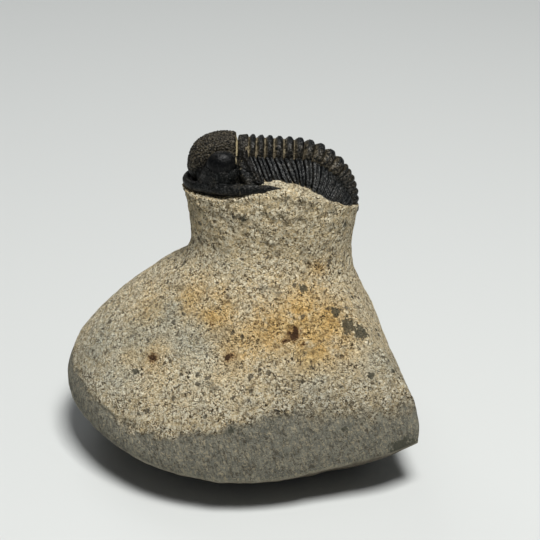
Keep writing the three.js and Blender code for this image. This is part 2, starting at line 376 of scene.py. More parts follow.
class Finish:
    """A material under construction: short calls that add and wire its nodes."""

    def __init__(self, name: str) -> None:
        """Starts a material with only its shader and its output.

        Args:
            name: the material's name.
        """
        self.material = bpy.data.materials.new(name)
        self.material.use_nodes = True
        self.tree = self.material.node_tree
        self.shader = self.tree.nodes["Principled BSDF"]
        self.place = self.tree.nodes.new("ShaderNodeTexCoord").outputs["Object"]

    def feed(self, socket: Socket, value: "Socket | float | tuple") -> None:
        """Wires a socket to another, or sets its value.

        Args:
            socket: the socket that takes it.
            value: another node's socket, or a plain value.
        """
        if isinstance(value, bpy.types.NodeSocket):
            self.tree.links.new(value, socket)
        else:
            socket.default_value = value

    def set_shader(self, **values: "Socket | float | tuple") -> None:
        """Feeds the shader's sockets, each named with an underscore for a space."""
        for name, value in values.items():
            self.feed(self.shader.inputs[name.replace("_", " ")], value)

    def noise(self, size: float, detail: float = 3, roughness: float = 0.6,
              stretch: tuple[float, float, float] | None = None, turn: float = 0.0,
              curl: float = 0.0) -> Socket:
        """Noise of a size in millimetres, from 0 to 1.

        Args:
            size: the size of its lumps.
            detail: how many finer layers it has.
            roughness: how strong those are.
            stretch: how much finer it is along each axis.
            turn: the angle by which the stretch is turned about Y, in radians.
            curl: how much its lumps curl into hooks.

        Returns:
            The noise's value.
        """
        node = self.tree.nodes.new("ShaderNodeTexNoise")
        node.inputs["Scale"].default_value = 1 / (size * MM)
        node.inputs["Detail"].default_value = detail
        node.inputs["Roughness"].default_value = roughness
        node.inputs["Distortion"].default_value = curl
        place = self.place
        if stretch:
            mapping = self.tree.nodes.new("ShaderNodeMapping")
            mapping.inputs["Scale"].default_value = stretch
            turned = self.tree.nodes.new("ShaderNodeMapping")
            turned.inputs["Rotation"].default_value = (0, turn, 0)
            self.tree.links.new(self.place, turned.inputs["Vector"])
            self.tree.links.new(turned.outputs["Vector"], mapping.inputs["Vector"])
            place = mapping.outputs["Vector"]
        self.tree.links.new(place, node.inputs["Vector"])
        return node.outputs["Fac"]

    def cells(self, size: float, warp: float = 0.0) -> tuple[Socket, Socket]:
        """Cells of a size in millimetres: the distance to each one's middle, and its own number.

        Args:
            size: the spacing of the cells.
            warp: how far their outlines wander, in millimetres.

        Returns:
            The distance in cell sizes, and a number from 0 to 1 that each cell has for itself.
        """
        node = self.tree.nodes.new("ShaderNodeTexVoronoi")
        node.inputs["Scale"].default_value = 1 / (size * MM)
        place = self.place
        if warp:
            wander = self.tree.nodes.new("ShaderNodeTexNoise")
            wander.inputs["Scale"].default_value = 1.6 / (size * MM)
            self.tree.links.new(self.place, wander.inputs["Vector"])
            moved = self.tree.nodes.new("ShaderNodeVectorMath")
            moved.operation = "MULTIPLY_ADD"
            moved.inputs[1].default_value = (2 * warp * MM,) * 3
            self.tree.links.new(wander.outputs["Color"], moved.inputs[0])
            self.tree.links.new(self.place, moved.inputs[2])
            place = moved.outputs[0]
        self.tree.links.new(place, node.inputs["Vector"])
        split = self.tree.nodes.new("ShaderNodeSeparateColor")
        self.tree.links.new(node.outputs["Color"], split.inputs[0])
        return node.outputs["Distance"], split.outputs[0]

    def painted(self, name: str) -> Socket:
        """The number that was stored on the mesh under a name.

        Args:
            name: the name that paint() stored it under.

        Returns:
            The number.
        """
        node = self.tree.nodes.new("ShaderNodeAttribute")
        node.attribute_name = name
        return node.outputs["Fac"]

    def sum(self, operation: str, a: "Socket | float", b: "Socket | float" = 0.0,
            clamp: bool = False) -> Socket:
        """One step of arithmetic on two values.

        Args:
            operation: its name, such as ADD or SUBTRACT.
            a: the first value.
            b: the second value.
            clamp: whether the result is kept between 0 and 1.

        Returns:
            The result.
        """
        node = self.tree.nodes.new("ShaderNodeMath")
        node.operation = operation
        node.use_clamp = clamp
        self.feed(node.inputs[0], a)
        self.feed(node.inputs[1], b)
        return node.outputs[0]

    def times(self, a: "Socket | float", b: "Socket | float", clamp: bool = False) -> Socket:
        """One value times another."""
        return self.sum("MULTIPLY", a, b, clamp)

    def step(self, value: Socket, low: float, high: float) -> Socket:
        """A value moved from between low and high to between 0 and 1.

        Args:
            value: the value.
            low: where the result is 0.
            high: where the result is 1.

        Returns:
            The result, smooth at both ends.
        """
        node = self.tree.nodes.new("ShaderNodeMapRange")
        node.interpolation_type = "SMOOTHSTEP"
        self.tree.links.new(value, node.inputs["Value"])
        node.inputs["From Min"].default_value = low
        node.inputs["From Max"].default_value = high
        return node.outputs["Result"]

    def blend(self, share: "Socket | float", under: "Socket | tuple", over: "Socket | tuple",
              how: str = "MIX") -> Socket:
        """Lays one colour over another by a share.

        Args:
            share: how much of the upper colour shows.
            under: the lower colour.
            over: the upper colour.
            how: the way that they blend, MIX or MULTIPLY.

        Returns:
            The colour.
        """
        node = self.tree.nodes.new("ShaderNodeMix")
        node.data_type = "RGBA"
        node.blend_type = how
        self.feed(node.inputs["Factor"], share)
        self.feed(node.inputs[6], under)
        self.feed(node.inputs[7], over)
        return node.outputs[2]

    def lay(self, colour: Socket, over: Tone, share: Socket, strength: "Socket | float" = 1.0,
            how: str = "MIX") -> Socket:
        """Lays a display colour over another by a share of a strength.

        Args:
            colour: the lower colour.
            over: the upper colour.
            share: where the upper colour shows.
            strength: how much of it shows there.
            how: the way that they blend, MIX or MULTIPLY.

        Returns:
            The colour.
        """
        return self.blend(self.times(share, strength), colour, tone(*over), how)

    def relief(self, height: Socket, depth: float, strength: float, under: Socket | None = None) -> Socket:
        """Bump from a height.

        Args:
            height: the height, 0 to 1.
            depth: what its full range stands for, in millimetres.
            strength: how much of it shows.
            under: another bump, which it lies on.

        Returns:
            The shader's surface direction.
        """
        node = self.tree.nodes.new("ShaderNodeBump")
        node.inputs["Distance"].default_value = depth * MM
        node.inputs["Strength"].default_value = strength
        self.tree.links.new(height, node.inputs["Height"])
        if under is not None:
            self.tree.links.new(under, node.inputs["Normal"])
        return node.outputs["Normal"]


@dataclass(frozen=True)
class LimestoneFinish:
    """Pecked, speckled limestone: tan above, ground grey on the rim, with iron stains."""

    tan: Tone = (236, 212, 164)
    sand: Tone = (202, 185, 150)
    cream: Tone = (255, 246, 218)
    umber: Tone = (66, 54, 37)
    slate: Tone = (180, 178, 162)
    cool: Tone = (228, 238, 250)
    ground_dark: Tone = (106, 106, 97)
    ground_light: Tone = (140, 138, 124)
    ochre: Tone = (255, 229, 180)
    ember: Tone = (156, 104, 48)
    rust: Tone = (58, 34, 18)
    lichen: Tone = (70, 70, 58)
    blot: Tone = (92, 86, 72)
    speck: Tone = (62, 58, 50)
    silt: Tone = (196, 180, 146)
    wet_silt: Tone = (74, 64, 46)
    shade: Tone = (34, 30, 25)
    rim_dimming: Tone = (226, 228, 232)
    roughness: float = 0.86
    shine: float = 0.25
    grit_size: float = 0.36
    grit_curl: float = 1.1
    score_size: float = 0.3
    score_stretch: tuple[float, float, float] = (1.0, 0.7, 0.2)
    score_lean: float = math.radians(17)
    score_depth: float = 0.25
    grain_depth: float = 1.0

    def scores(self, f: Finish) -> Socket:
        """The leaning marks of the grinding on the rim."""
        return f.noise(self.score_size, 2, 0.6, stretch=self.score_stretch, turn=self.score_lean)

    def ground_colour(self, f: Finish, grit: Socket) -> Socket:
        """The rim's colour: grey, streaked where it was ground.

        Args:
            f: the finish under construction.
            grit: the grain shared by the whole stone.

        Returns:
            The colour.
        """
        cloud = f.step(f.noise(1.4, 4, 0.6), 0.3, 0.75)
        colour = f.blend(cloud, tone(*self.ground_dark), tone(*self.ground_light))
        scores = self.scores(f)
        colour = f.lay(colour, self.umber, f.step(scores, 0.54, 0.66), strength=0.5)
        colour = f.lay(colour, self.silt, f.step(scores, 0.46, 0.36), strength=0.22)
        colour = f.lay(colour, self.silt, f.step(grit, 0.54, 0.62), strength=0.4)
        return f.lay(colour, self.umber, f.step(grit, 0.45, 0.37), strength=0.65)

    def pecked_colour(self, f: Finish, grit: Socket) -> Socket:
        """The pecked surfaces' colour: tan stone with light grains and dark hollows.

        Args:
            f: the finish under construction.
            grit: the grain shared by the whole stone.

        Returns:
            The colour.
        """
        colour = f.blend(f.step(f.noise(2.4, 4, 0.6), 0.36, 0.68), tone(*self.tan), tone(*self.sand))
        distance, number = f.cells(0.42, 0.12)
        inner = f.step(distance, 0.62, 0.3)
        light = f.times(inner, f.step(number, 0.55, 0.85))
        colour = f.lay(colour, self.cream, light, strength=0.7)
        dark = f.times(inner, f.step(number, 0.3, 0.05))
        colour = f.lay(colour, self.umber, dark, strength=0.7)
        colour = f.lay(colour, self.cream, f.painted("pale"), strength=0.7)
        patchy = f.sum("ADD", f.times(f.step(f.noise(1.7, 3, 0.6), 0.35, 0.65), 0.6), 0.5, clamp=True)
        colour = f.lay(colour, self.cream, f.step(grit, 0.51, 0.57), strength=patchy)
        colour = f.lay(colour, self.umber, f.step(grit, 0.475, 0.41), strength=patchy)
        ochre = f.times(f.painted("ochre"), f.step(f.noise(2.8, 4, 0.6), 0.2, 0.55))
        colour = f.blend(f.times(ochre, 1.15, clamp=True), colour, tone(*self.ochre), "MULTIPLY")
        colour = f.lay(colour, self.cool, f.painted("slate"), strength=0.8, how="MULTIPLY")
        return f.lay(colour, self.slate, f.painted("slate"), strength=0.25)

    def spots(self, f: Finish, size: float, warp: float, least: float, soft: float) -> Socket:
        """Ragged round spots, each of its own size.

        Args:
            f: the finish under construction.
            size: the spacing of the cells that hold them, in millimetres.
            warp: how far their outlines wander, in millimetres.
            least: the cell number below which a cell holds none.
            soft: how far a spot's edge fades inwards.

        Returns:
            Where they are.
        """
        distance, number = f.cells(size, warp)
        reach = f.times(f.step(number, least, 1.0), 0.36)
        return f.step(f.sum("SUBTRACT", distance, reach), 0.03, -soft)

    def marks(self, f: Finish, colour: Socket) -> Socket:
        """Lays dark mineral specks, rust and dark patches over a colour.

        Args:
            f: the finish under construction.
            colour: the colour below them.

        Returns:
            The colour with them.
        """
        pecked = f.sum("SUBTRACT", 1.0, f.painted("ground"), clamp=True)
        blot = f.times(self.spots(f, 2.3, 1.0, 0.55, 0.12), pecked)
        blot = f.times(blot, f.step(f.noise(0.5, 3, 0.7), 0.36, 0.6))
        colour = f.lay(colour, self.blot, blot, strength=0.62)
        where = f.sum("ADD", f.times(pecked, 0.5), 0.25)
        colour = f.lay(colour, self.speck, self.spots(f, 1.2, 0.5, 0.68, 0.08), strength=where)
        ragged = f.times(f.sum("SUBTRACT", f.noise(0.7, 4, 0.75), 0.5), 1.9)
        patch = f.step(f.sum("ADD", f.painted("lichen"), ragged), 0.4, 0.62)
        patch = f.times(patch, f.step(f.painted("lichen"), 0.05, 0.3))
        colour = f.lay(colour, self.lichen, patch, strength=0.86)
        halo = f.step(f.sum("ADD", f.painted("rust"), f.times(ragged, 0.8)), 0.1, 0.7)
        halo = f.times(halo, f.step(f.painted("rust"), 0.0, 0.1))
        colour = f.lay(colour, self.ember, halo, strength=0.55)
        spot = f.step(f.sum("ADD", f.painted("rust"), f.times(ragged, 1.5)), 0.45, 0.7)
        spot = f.times(spot, f.step(f.painted("rust"), 0.1, 0.35))
        return f.lay(colour, self.rust, spot, strength=0.92)

    def material(self) -> bpy.types.Material:
        """The stone's material.

        Returns:
            The material.
        """
        f = Finish("limestone")
        ground = f.painted("ground")
        grit = f.noise(self.grit_size, 3, 0.62, curl=self.grit_curl)
        colour = f.blend(ground, self.pecked_colour(f, grit), self.ground_colour(f, grit))
        colour = self.marks(f, colour)
        arris = f.times(f.painted("arris"), f.step(f.noise(0.75, 3, 0.7), 0.52, 0.64))
        colour = f.lay(colour, self.umber, arris, strength=0.75)
        # Painted highlight: a pale line along the stone's lower edge.
        colour = f.lay(colour, self.cream, f.painted("edge_highlight"), strength=0.35)
        # Darker and cooler just above the rim, more so on the tail side.
        colour = f.lay(colour, self.rim_dimming, f.painted("rim_dimming"), how="MULTIPLY")
        # Painted shade on the faces that look down, under the overhanging rim.
        colour = f.lay(colour, self.umber, f.painted("under"), strength=0.6)
        # Painted shade in the peck pits.
        colour = f.lay(colour, self.umber, f.painted("hollow"), strength=0.5)
        patchy = f.sum("ADD", f.step(f.noise(0.5, 3, 0.7), 0.42, 0.6), 0.3, clamp=True)
        colour = f.lay(colour, self.wet_silt, f.painted("silt"))
        colour = f.lay(colour, self.silt, f.painted("silt"), strength=patchy)
        colour = f.lay(colour, self.shade, f.painted("shade"))
        scored = f.relief(f.times(self.scores(f), ground), self.score_depth, 0.7)
        grain = f.sum("ADD", grit, f.times(f.noise(0.8, 3, 0.6), 0.8))
        grain = f.times(grain, f.sum("SUBTRACT", 1.0, f.times(ground, 0.7)))
        f.set_shader(Base_Color=colour, Roughness=self.roughness, Specular_IOR_Level=self.shine,
                     Normal=f.relief(grain, self.grain_depth, 1.0, scored))
        return f.material


@dataclass(frozen=True)
class ShellFinish:
    """Near-black calcite shell with brown thin places and pale silt in its furrows."""

    name: str
    black: Tone = (6, 8, 9)
    brown: Tone = (72, 64, 47)
    silt: Tone = (186, 172, 136)
    wear_and_highlight: Tone = (106, 110, 108)
    brown_share: float = 0.35
    silt_share: float = 1.0
    wear_and_highlight_share: float = 0.3
    glint: float = 0.6
    shine: float = 0.14
    roughness: float = 0.3
    relief: float = 1.0
    lump_depth: float = 0.16
    pore_depth: float = 0.09

    def material(self) -> bpy.types.Material:
        """This shell's material.

        Returns:
            The material.
        """
        f = Finish(self.name)
        cloud = f.step(f.noise(1.6, 4, 0.65), 0.42, 0.7)
        fine = f.noise(0.3, 3, 0.65)
        warm = f.sum("ADD", f.times(cloud, self.brown_share), f.painted("warm"))
        warm = f.times(warm, f.step(fine, 0.4, 0.62), clamp=True)
        colour = f.blend(warm, tone(*self.black), tone(*self.brown))
        ragged = f.times(f.sum("SUBTRACT", fine, 0.5), 1.2)
        dust = f.step(f.sum("ADD", f.painted("dust"), ragged), 0.42, 0.72)
        dust = f.times(dust, self.silt_share, clamp=True)
        # Lighter on crests and granule tops, a painted highlight, and in random patches of wear.
        wear_and_highlight = f.times(f.painted("wear_and_highlight"), f.step(f.noise(0.24, 3, 0.7), 0.44, 0.62))
        colour = f.lay(colour, self.wear_and_highlight, wear_and_highlight, strength=self.wear_and_highlight_share)
        colour = f.lay(colour, self.silt, dust)
        gloss = f.sum("ADD", f.times(f.step(fine, 0.3, 0.7), 0.16), self.roughness)
        gloss = f.sum("ADD", gloss, f.times(dust, 0.4), clamp=True)
        glint = f.sum("ADD", f.times(f.step(fine, 0.5, 0.62), self.glint), self.shine)
        pores = f.relief(f.noise(0.17, 2, 0.6), self.pore_depth, self.relief)
        lumps = f.relief(f.noise(0.55, 3, 0.6), self.lump_depth, self.relief, pores)
        f.set_shader(Base_Color=colour, Roughness=gloss, Specular_IOR_Level=glint, Normal=lumps)
        return f.material


# ---- The body line and its arch -------------------------------------------------------------

@dataclass(frozen=True)
class BodyLine:
    """The crest of the back: straight, then curled down behind."""

    start_x: float = 0.95
    start_z: float = 46.6
    pitch: float = math.radians(3.5)
    straight: float = 6.65
    radius: float = 9.5

    @property
    def turn(self) -> float:
        """How far the crest turns down in all, in radians."""
        return math.pi / 2 - self.pitch

    def place(self, s: Array, v: Array, n: Array) -> Array:
        """Points at s back along the crest, v across it and n up from it.

        Args:
            s: distances back along the crest.
            v: distances across it.
            n: heights above it.

        Returns:
            Points of the specimen's frame.
        """
        s, v, n = np.broadcast_arrays(s, v, n)
        heading = self.pitch + np.clip((s - self.straight) / self.radius, 0, self.turn)
        flat = np.minimum(s, self.straight)
        hanging = np.maximum(0, s - self.straight - self.radius * self.turn)
        x = self.start_x + flat * math.cos(self.pitch) + n * np.sin(heading)
        x = x + self.radius * (np.sin(heading) - math.sin(self.pitch))
        z = self.start_z - flat * math.sin(self.pitch) - hanging + n * np.cos(heading)
        z = z + self.radius * (np.cos(heading) - math.cos(self.pitch))
        return np.stack([x, v, z], -1)

    def unplace(self, points: Array) -> tuple[Array, Array]:
        """How far back and how high over the crest points lie: the opposite of place.

        Args:
            points: points of the specimen's frame.

        Returns:
            Their distances back along the crest, and their heights over it.
        """
        along = np.array([math.cos(self.pitch), -math.sin(self.pitch)])
        up = np.array([math.sin(self.pitch), math.cos(self.pitch)])
        start = np.array([self.start_x, self.start_z])
        centre = start + along * self.straight - up * self.radius
        flat = points[:, [0, 2]] - start
        round_centre = points[:, [0, 2]] - centre
        s, n = flat @ along, flat @ up
        angle = np.arctan2(round_centre @ along, round_centre @ up)
        curled = s > self.straight
        s = np.where(curled, self.straight + self.radius * angle, s)
        return s, np.where(curled, np.hypot(*round_centre.T) - self.radius, n)


@dataclass(frozen=True)
class Arch:
    """The cross-section of the back: a ring in the middle and a falling flank on each side."""

    axis: float = 2.5
    axis_rear: float = 1.9
    ring: float = 1.85
    width: float = 5.9
    drop: float = 2.6
    swell: float = 0.3
    sweep: float = 1.7
    thorax_start: float = 0.0
    thorax_length: float = 15.0
    tail_length: float = 7.6
    tail_axis_share: float = 0.42
    tail_ring: float = 0.3
    tail_drop: float = 0.5
    tip_share: float = 0.16

    @property
    def tail_start(self) -> float:
        """Where the tail shield begins along the crest."""
        return self.thorax_start + self.thorax_length

    @property
    def tail_end(self) -> float:
        """Where the tail shield ends along the crest."""
        return self.tail_start + self.tail_length

    def tail_share(self, s: Array) -> Array:
        """How far down the tail shield s is, 0 before it and 1 at its end."""
        return np.clip((s - self.tail_start) / self.tail_length, 0, 1)

    def sizes(self, s: Array) -> tuple[Array, Array, Array, Array]:
        """The arch's sizes at places along the crest.

        Args:
            s: distances back along the crest.

        Returns:
            The half width of the axis, the ring's height, the half width and the flank's drop.
        """
        along = np.clip((s - self.thorax_start) / self.thorax_length, 0, 1)
        tail = self.tail_share(s)
        closing = np.sqrt(1 - tail ** 2.2 * (1 - self.tip_share ** 2))
        narrow = 1 - (1 - self.tail_axis_share) * tail
        axis = (self.axis + (self.axis_rear - self.axis) * along) * narrow
        axis = np.minimum(axis, self.width * closing * 0.6)
        ring = self.ring + (self.tail_ring - self.ring) * tail ** 1.5
        fall = (closing - self.tip_share) / (1 - self.tip_share)
        return axis, ring, self.width * closing, self.tail_drop + (self.drop - self.tail_drop) * fall

    def height(self, s: Array, v: Array) -> Array:
        """Height of the plain arch over the crest line.

        Args:
            s: distances back along the crest.
            v: distances across it.

        Returns:
            Heights, zero on the crest and below it elsewhere.
        """
        axis, ring, width, drop = self.sizes(s)
        v = np.minimum(np.abs(v), width)
        bow = np.sqrt(np.clip(1 - (v / axis) ** 2, 0, 1)) - 1
        w = np.clip((v - axis) / (width - axis), 0, 1)
        flank = -ring + self.swell * np.sin(np.pi * w) * (1 - w) - drop * w * w
        return np.where(v < axis, ring * bow, flank)

    def lean(self, share: Array, s: Array | float = 0.0) -> Array:
        """How far back the flank leans at a share of the half width, at s along the crest."""
        w = np.clip((np.abs(share) * self.width - self.axis) / (self.width - self.axis), 0, 1)
        return self.sweep * w ** 1.6 * (1 - self.tail_share(s) ** 2)

    def stations(self, s: float, count: int) -> Array:
        """Shares of the half width that are evenly spaced along the arch's surface.

        Args:
            s: where the arch is cut, along the crest.
            count: how many shares.

        Returns:
            The shares, from -1 to 1.
        """
        dense = np.linspace(-1, 1, 1201)
        across = dense * self.sizes(np.array(s))[2]
        n = self.height(np.full(dense.shape, s), across)
        run = np.concatenate([[0], np.cumsum(np.hypot(np.diff(across), np.diff(n)))])
        return np.interp(np.linspace(0, run[-1], count), run, dense)


LINE = BodyLine()
ARCH = Arch()


# ---- The thorax -----------------------------------------------------------------------------

@dataclass
class Thorax:
    """Ten hinged segments, each an arched plate with a ring and two ribbed flanks."""

    count: int = 10
    first_pitch: float = 1.1
    pitch_growth: float = 0.0889
    gap: float = 0.07
    thickness: float = 0.8
    ring_depth: float = 0.45
    ring_crest: float = 0.54
    rib_depth: float = 0.24
    rib_start: float = 0.02
    rib_wander: float = 0.07
    fine_rib_depth: float = 0.07
    furrow_depth: float = 0.25
    edge_roll: float = 0.16
    edge_reach: float = 0.14
    tip_roll: float = 0.12
    across: int = 210
    along: int = 40
    under: int = 5

    def starts(self) -> list[tuple[float, float]]:
        """Where each segment starts along the crest, and its length.

        Returns:
            A start and a length for each segment, in millimetres.
        """
        found, s = [], ARCH.thorax_start
        for i in range(self.count):
            length = self.first_pitch + self.pitch_growth * i
            found.append((s, length))
            s += length
        return found

    def relief(self, t: Array, v: Array, axis: Array, width: Array, seed: int) -> Array:
        """The height of rings and ribs over the plain arch.

        Args:
            t: places along the segment, 0 to 1.
            v: places across it, in millimetres.
            axis: the half width of the ring.
            width: the half width of the plate.
            seed: which unevenness the segment has.

        Returns:
            Heights, all of them zero or less.
        """
        w = np.clip((np.abs(v) - axis) / (width - axis), 0, 1)
        on_ring = 1 - ease(-0.25, 0.12, np.abs(v) - axis)
        ring = -self.ring_depth * (1 - np.exp(-(np.abs(t - self.ring_crest) / 0.36) ** 4))
        ring = ring - 0.1 * bell(t - 0.3, 0.05) * (1 - ease(0.5, 1.0, np.abs(v) / axis))
        crooked = np.stack([t * 0.4, v, np.full(t.shape, seed * 3.0)], -1)
        turn = t + self.rib_start + self.rib_wander * noise(crooked, 1.1, 33)
        rib = np.abs(np.sin(2 * np.pi * turn))
        strength = self.rib_depth * (0.5 + 0.5 * ease(0.0, 0.25, w)) * (1 - 0.35 * ease(0.85, 1, w))
        fine = 1 - np.abs(np.sin(4 * np.pi * (t + self.rib_start + 0.02 * w)))
        flank = -strength * (1 - rib ** 0.6) - self.fine_rib_depth * fine
        furrow = -self.furrow_depth * bell(np.abs(v) - axis - 0.05, 0.28)
        wobble = np.stack([t * 1.5, v, np.full(t.shape, seed * 7.0)], -1)
        streaks = np.stack([t * 6.0, v * 0.5, np.full(t.shape, seed * 5.0)], -1)
        uneven = 0.06 * fractal(wobble, 0.7, 40 + seed, 2) + 0.04 * noise(streaks, 0.8, 60 + seed)
        return on_ring * ring + (1 - on_ring) * flank + furrow + uneven

    def build(self) -> None:
        """Builds and dresses the ten segments."""
        finish = ShellFinish("thorax_shell", brown_share=0.2, silt_share=0.9).material()
        for i, (start, length) in enumerate(self.starts()):
            piece = self.segment(f"segment_plate_{i + 1:02d}", i, start, length)
            finish_piece(piece, [f"thoracic_segment_{i + 1:02d}"], "thorax_shell", finish)

    def segment(self, name: str, index: int, start: float, length: float) -> bpy.types.Object:
        """One segment as a closed plate, lofted across the animal.

        Args:
            name: the piece's name.
            index: its number from the head, counted from 0.
            start: where it starts along the crest.
            length: its length along the crest.
        Returns:
            The new piece.
        """
        middle = start + length / 2
        t = np.concatenate([np.linspace(0, 1, self.along), np.linspace(1, 0, self.under)])[None, :]
        top = np.concatenate([np.ones(self.along), np.zeros(self.under)])[None, :]
        u = ARCH.stations(middle, self.across)[:, None]
        axis, _, width, _ = ARCH.sizes(np.array(middle))
        tip = ease(0.9, 1.0, np.abs(u))
        v = u * width
        base = ARCH.height(np.full(v.shape, middle), v)
        raised = base + self.relief(t + 0 * u, v + 0 * t, axis, width, index)
        edge = np.minimum(t, 1 - t) * length
        rolled = self.edge_roll * np.clip(1 - edge / self.edge_reach, 0, 1) ** 2
        thick = self.thickness * (1 - 0.55 * tip)
        n = np.where(top > 0.5, raised - rolled - self.tip_roll * tip, base - thick)
        narrowing = 1 - 0.35 * tip
        spread = (0.5 + (t - 0.5) * narrowing) * (length - self.gap) + self.gap / 2
        points = LINE.place(start + spread + ARCH.lean(u), v + 0 * t, n)
        piece = loft(name, points, flip=True)
        self.dress(piece, index, t, u, np.abs(v) - axis, np.abs(v) / axis, top)
        return piece

    def dress(self, piece: bpy.types.Object, index: int, t: Array, u: Array, past_axis: Array,
              axis_share: Array, top: Array) -> None:
        """Stores where a segment is dusty or brown, and where its crests get a painted highlight.

        Args:
            piece: the segment.
            index: its number from the head, counted from 0.
            t: places along the segment, 0 to 1.
            u: shares of its half width.
            past_axis: how far outside the ring each place is.
            axis_share: each place's share of the ring's half width.
            top: 1 on the upper side and 0 below.
        """
        front = 1 - ease(2.5, 6.5, np.array(float(index)))
        rear = ease(3, 8, np.array(float(index)))
        on_ring = 1 - ease(0.0, 0.5, past_axis)
        sides = ease(0.3, 0.8, axis_share)
        rib = np.abs(np.sin(2 * np.pi * (t + self.rib_start)))
        dust = on_ring * ease(0.2, 0.08, t) * (0.25 + 0.3 * front) * sides + 0.3 * ease(0.8, 1.0, np.abs(u))
        dust = dust + bell(rib, 0.25) * (1 - on_ring) * (0.06 + 0.34 * front * ease(0.9, 0.3, np.abs(u)))
        brown = 0.9 * ease(0.36, 0.2, t) + (0.25 + 0.5 * rear) * ease(0.3, 0.9, axis_share)
        # Painted highlight: lighter lines along the crests of the ribs and rings.
        wear_and_highlight = bell(rib - 1, 0.12) * (1 - on_ring)
        wear_and_highlight = wear_and_highlight + on_ring * (0.5 * bell(t - 0.36, 0.05) + 0.25 * bell(t - 0.6, 0.1))
        paint(piece, "dust", dust * top)
        paint(piece, "warm", on_ring * brown * top)
        paint(piece, "wear_and_highlight", wear_and_highlight * top)


# ---- The tail shield ------------------------------------------------------------------------

@dataclass
class Pygidium:
    """The tail shield: one plate with a ringed axis, ribbed sides and a plain border."""

    gap: float = 0.13
    thickness: float = 0.8
    rings: int = 7
    ribs: int = 9
    ring_depth: float = 0.36
    rib_depth: float = 0.24
    furrow_depth: float = 0.2
    border_rise: float = 0.1
    edge_roll: float = 0.22
    edge_reach: float = 0.25
    crowding: float = 0.86
    across: int = 170
    along: int = 120
    under: int = 40

    def ridges(self, count: int, t: Array) -> Array:
        """How deep between two of so many crowded ridges t lies, 0 on a ridge and 1 between two."""
        return 1 - np.abs(np.sin(np.pi * count * t ** self.crowding)) ** 0.8

    def build(self) -> None:
        """Builds and dresses the tail shield."""
        t = np.linspace(0, 1, self.along)[:, None]
        s = ARCH.tail_start + self.gap / 2 + t * (ARCH.tail_length - self.gap)
        shares = ARCH.stations(ARCH.tail_start + 1, self.across)[None, :]
        low_shares = np.linspace(1, -1, self.under)[None, :]
        u = np.concatenate([shares, low_shares], 1)
        top = np.concatenate([np.ones_like(shares), np.zeros_like(low_shares)], 1)
        axis, _, width, _ = ARCH.sizes(s)
        v = u * width
        base = ARCH.height(s + 0 * v, v)
        w = np.clip((np.abs(v) - axis) / (width - axis), 0, 1)
        fade = 1 - ease(0.75, 1.0, t)
        on_axis = 1 - ease(-0.2, 0.15, np.abs(v) - axis)
        ring = -self.ring_depth * self.ridges(self.rings, t) * fade
        rib = -self.rib_depth * self.ridges(self.ribs, t) * fade * (1 - ease(0.78, 0.93, w))
        furrow = -self.furrow_depth * bell(np.abs(v) - axis - 0.05, 0.25) * fade
        rim = self.border_rise * ease(0.86, 0.94, w)
        uneven = 0.05 * fractal(LINE.place(s + 0 * v, v, base), 0.7, 71, 2)
        edge = np.minimum(t, 1 - t) * ARCH.tail_length
        rolled = self.edge_roll * np.clip(1 - edge / self.edge_reach, 0, 1) ** 2
        raised = base + on_axis * ring + (1 - on_axis) * rib + furrow + rim + uneven - rolled
        n = np.where(top > 0.5, raised, base - self.thickness)
        piece = loft("tail_plate", LINE.place(s + ARCH.lean(u, s), v, n))
        low = np.clip((base - n) / 0.4, 0, 1)
        # Painted highlight: lighter lines along the tops of the ribs and rings.
        wear_and_highlight = bell(rib, 0.03) * (1 - on_axis) + 0.5 * on_axis * bell(ring, 0.03)
        paint(piece, "dust", (0.22 * low + 0.35 * ease(0.9, 1.0, np.abs(u))) * top)
        paint(piece, "warm", on_axis * (0.5 - 0.3 * t) * top)
        paint(piece, "wear_and_highlight", wear_and_highlight * fade * top)
        finish = ShellFinish("pygidium_shell", brown_share=0.35, silt_share=0.8).material()
        finish_piece(piece, ["pygidium"], "pygidium_shell", finish)


# ---- The stone ------------------------------------------------------------------------------

@dataclass(frozen=True)
class Patch:
    """A stained place on the stone: where it is, its reach and how strong it is."""

    x: float
    y: float
    z: float
    reach: float
    strength: float = 1.0

    def strength_at(self, points: Array) -> Array:
        """How strong the stain is at each point.

        Args:
            points: points of the specimen's frame.

        Returns:
            One number for each point.
        """
        gap = np.linalg.norm(points - np.array([self.x, self.y, self.z]), axis=1)
        gap = gap * (1 + 0.35 * fractal(points, self.reach * 1.1, 101, 2))
        return self.strength * bell(gap, self.reach)


class Stain(Enum):
    """The kinds of stain, by the name that the finish reads."""

    OCHRE = "ochre"
    RUST = "rust"
    SLATE = "slate"
    LICHEN = "lichen"
    PALE = "pale"


class Zone(IntEnum):
    """The kinds of surface on the block."""

    UNDER = 0
    BAND = 1
    PECKED = 2


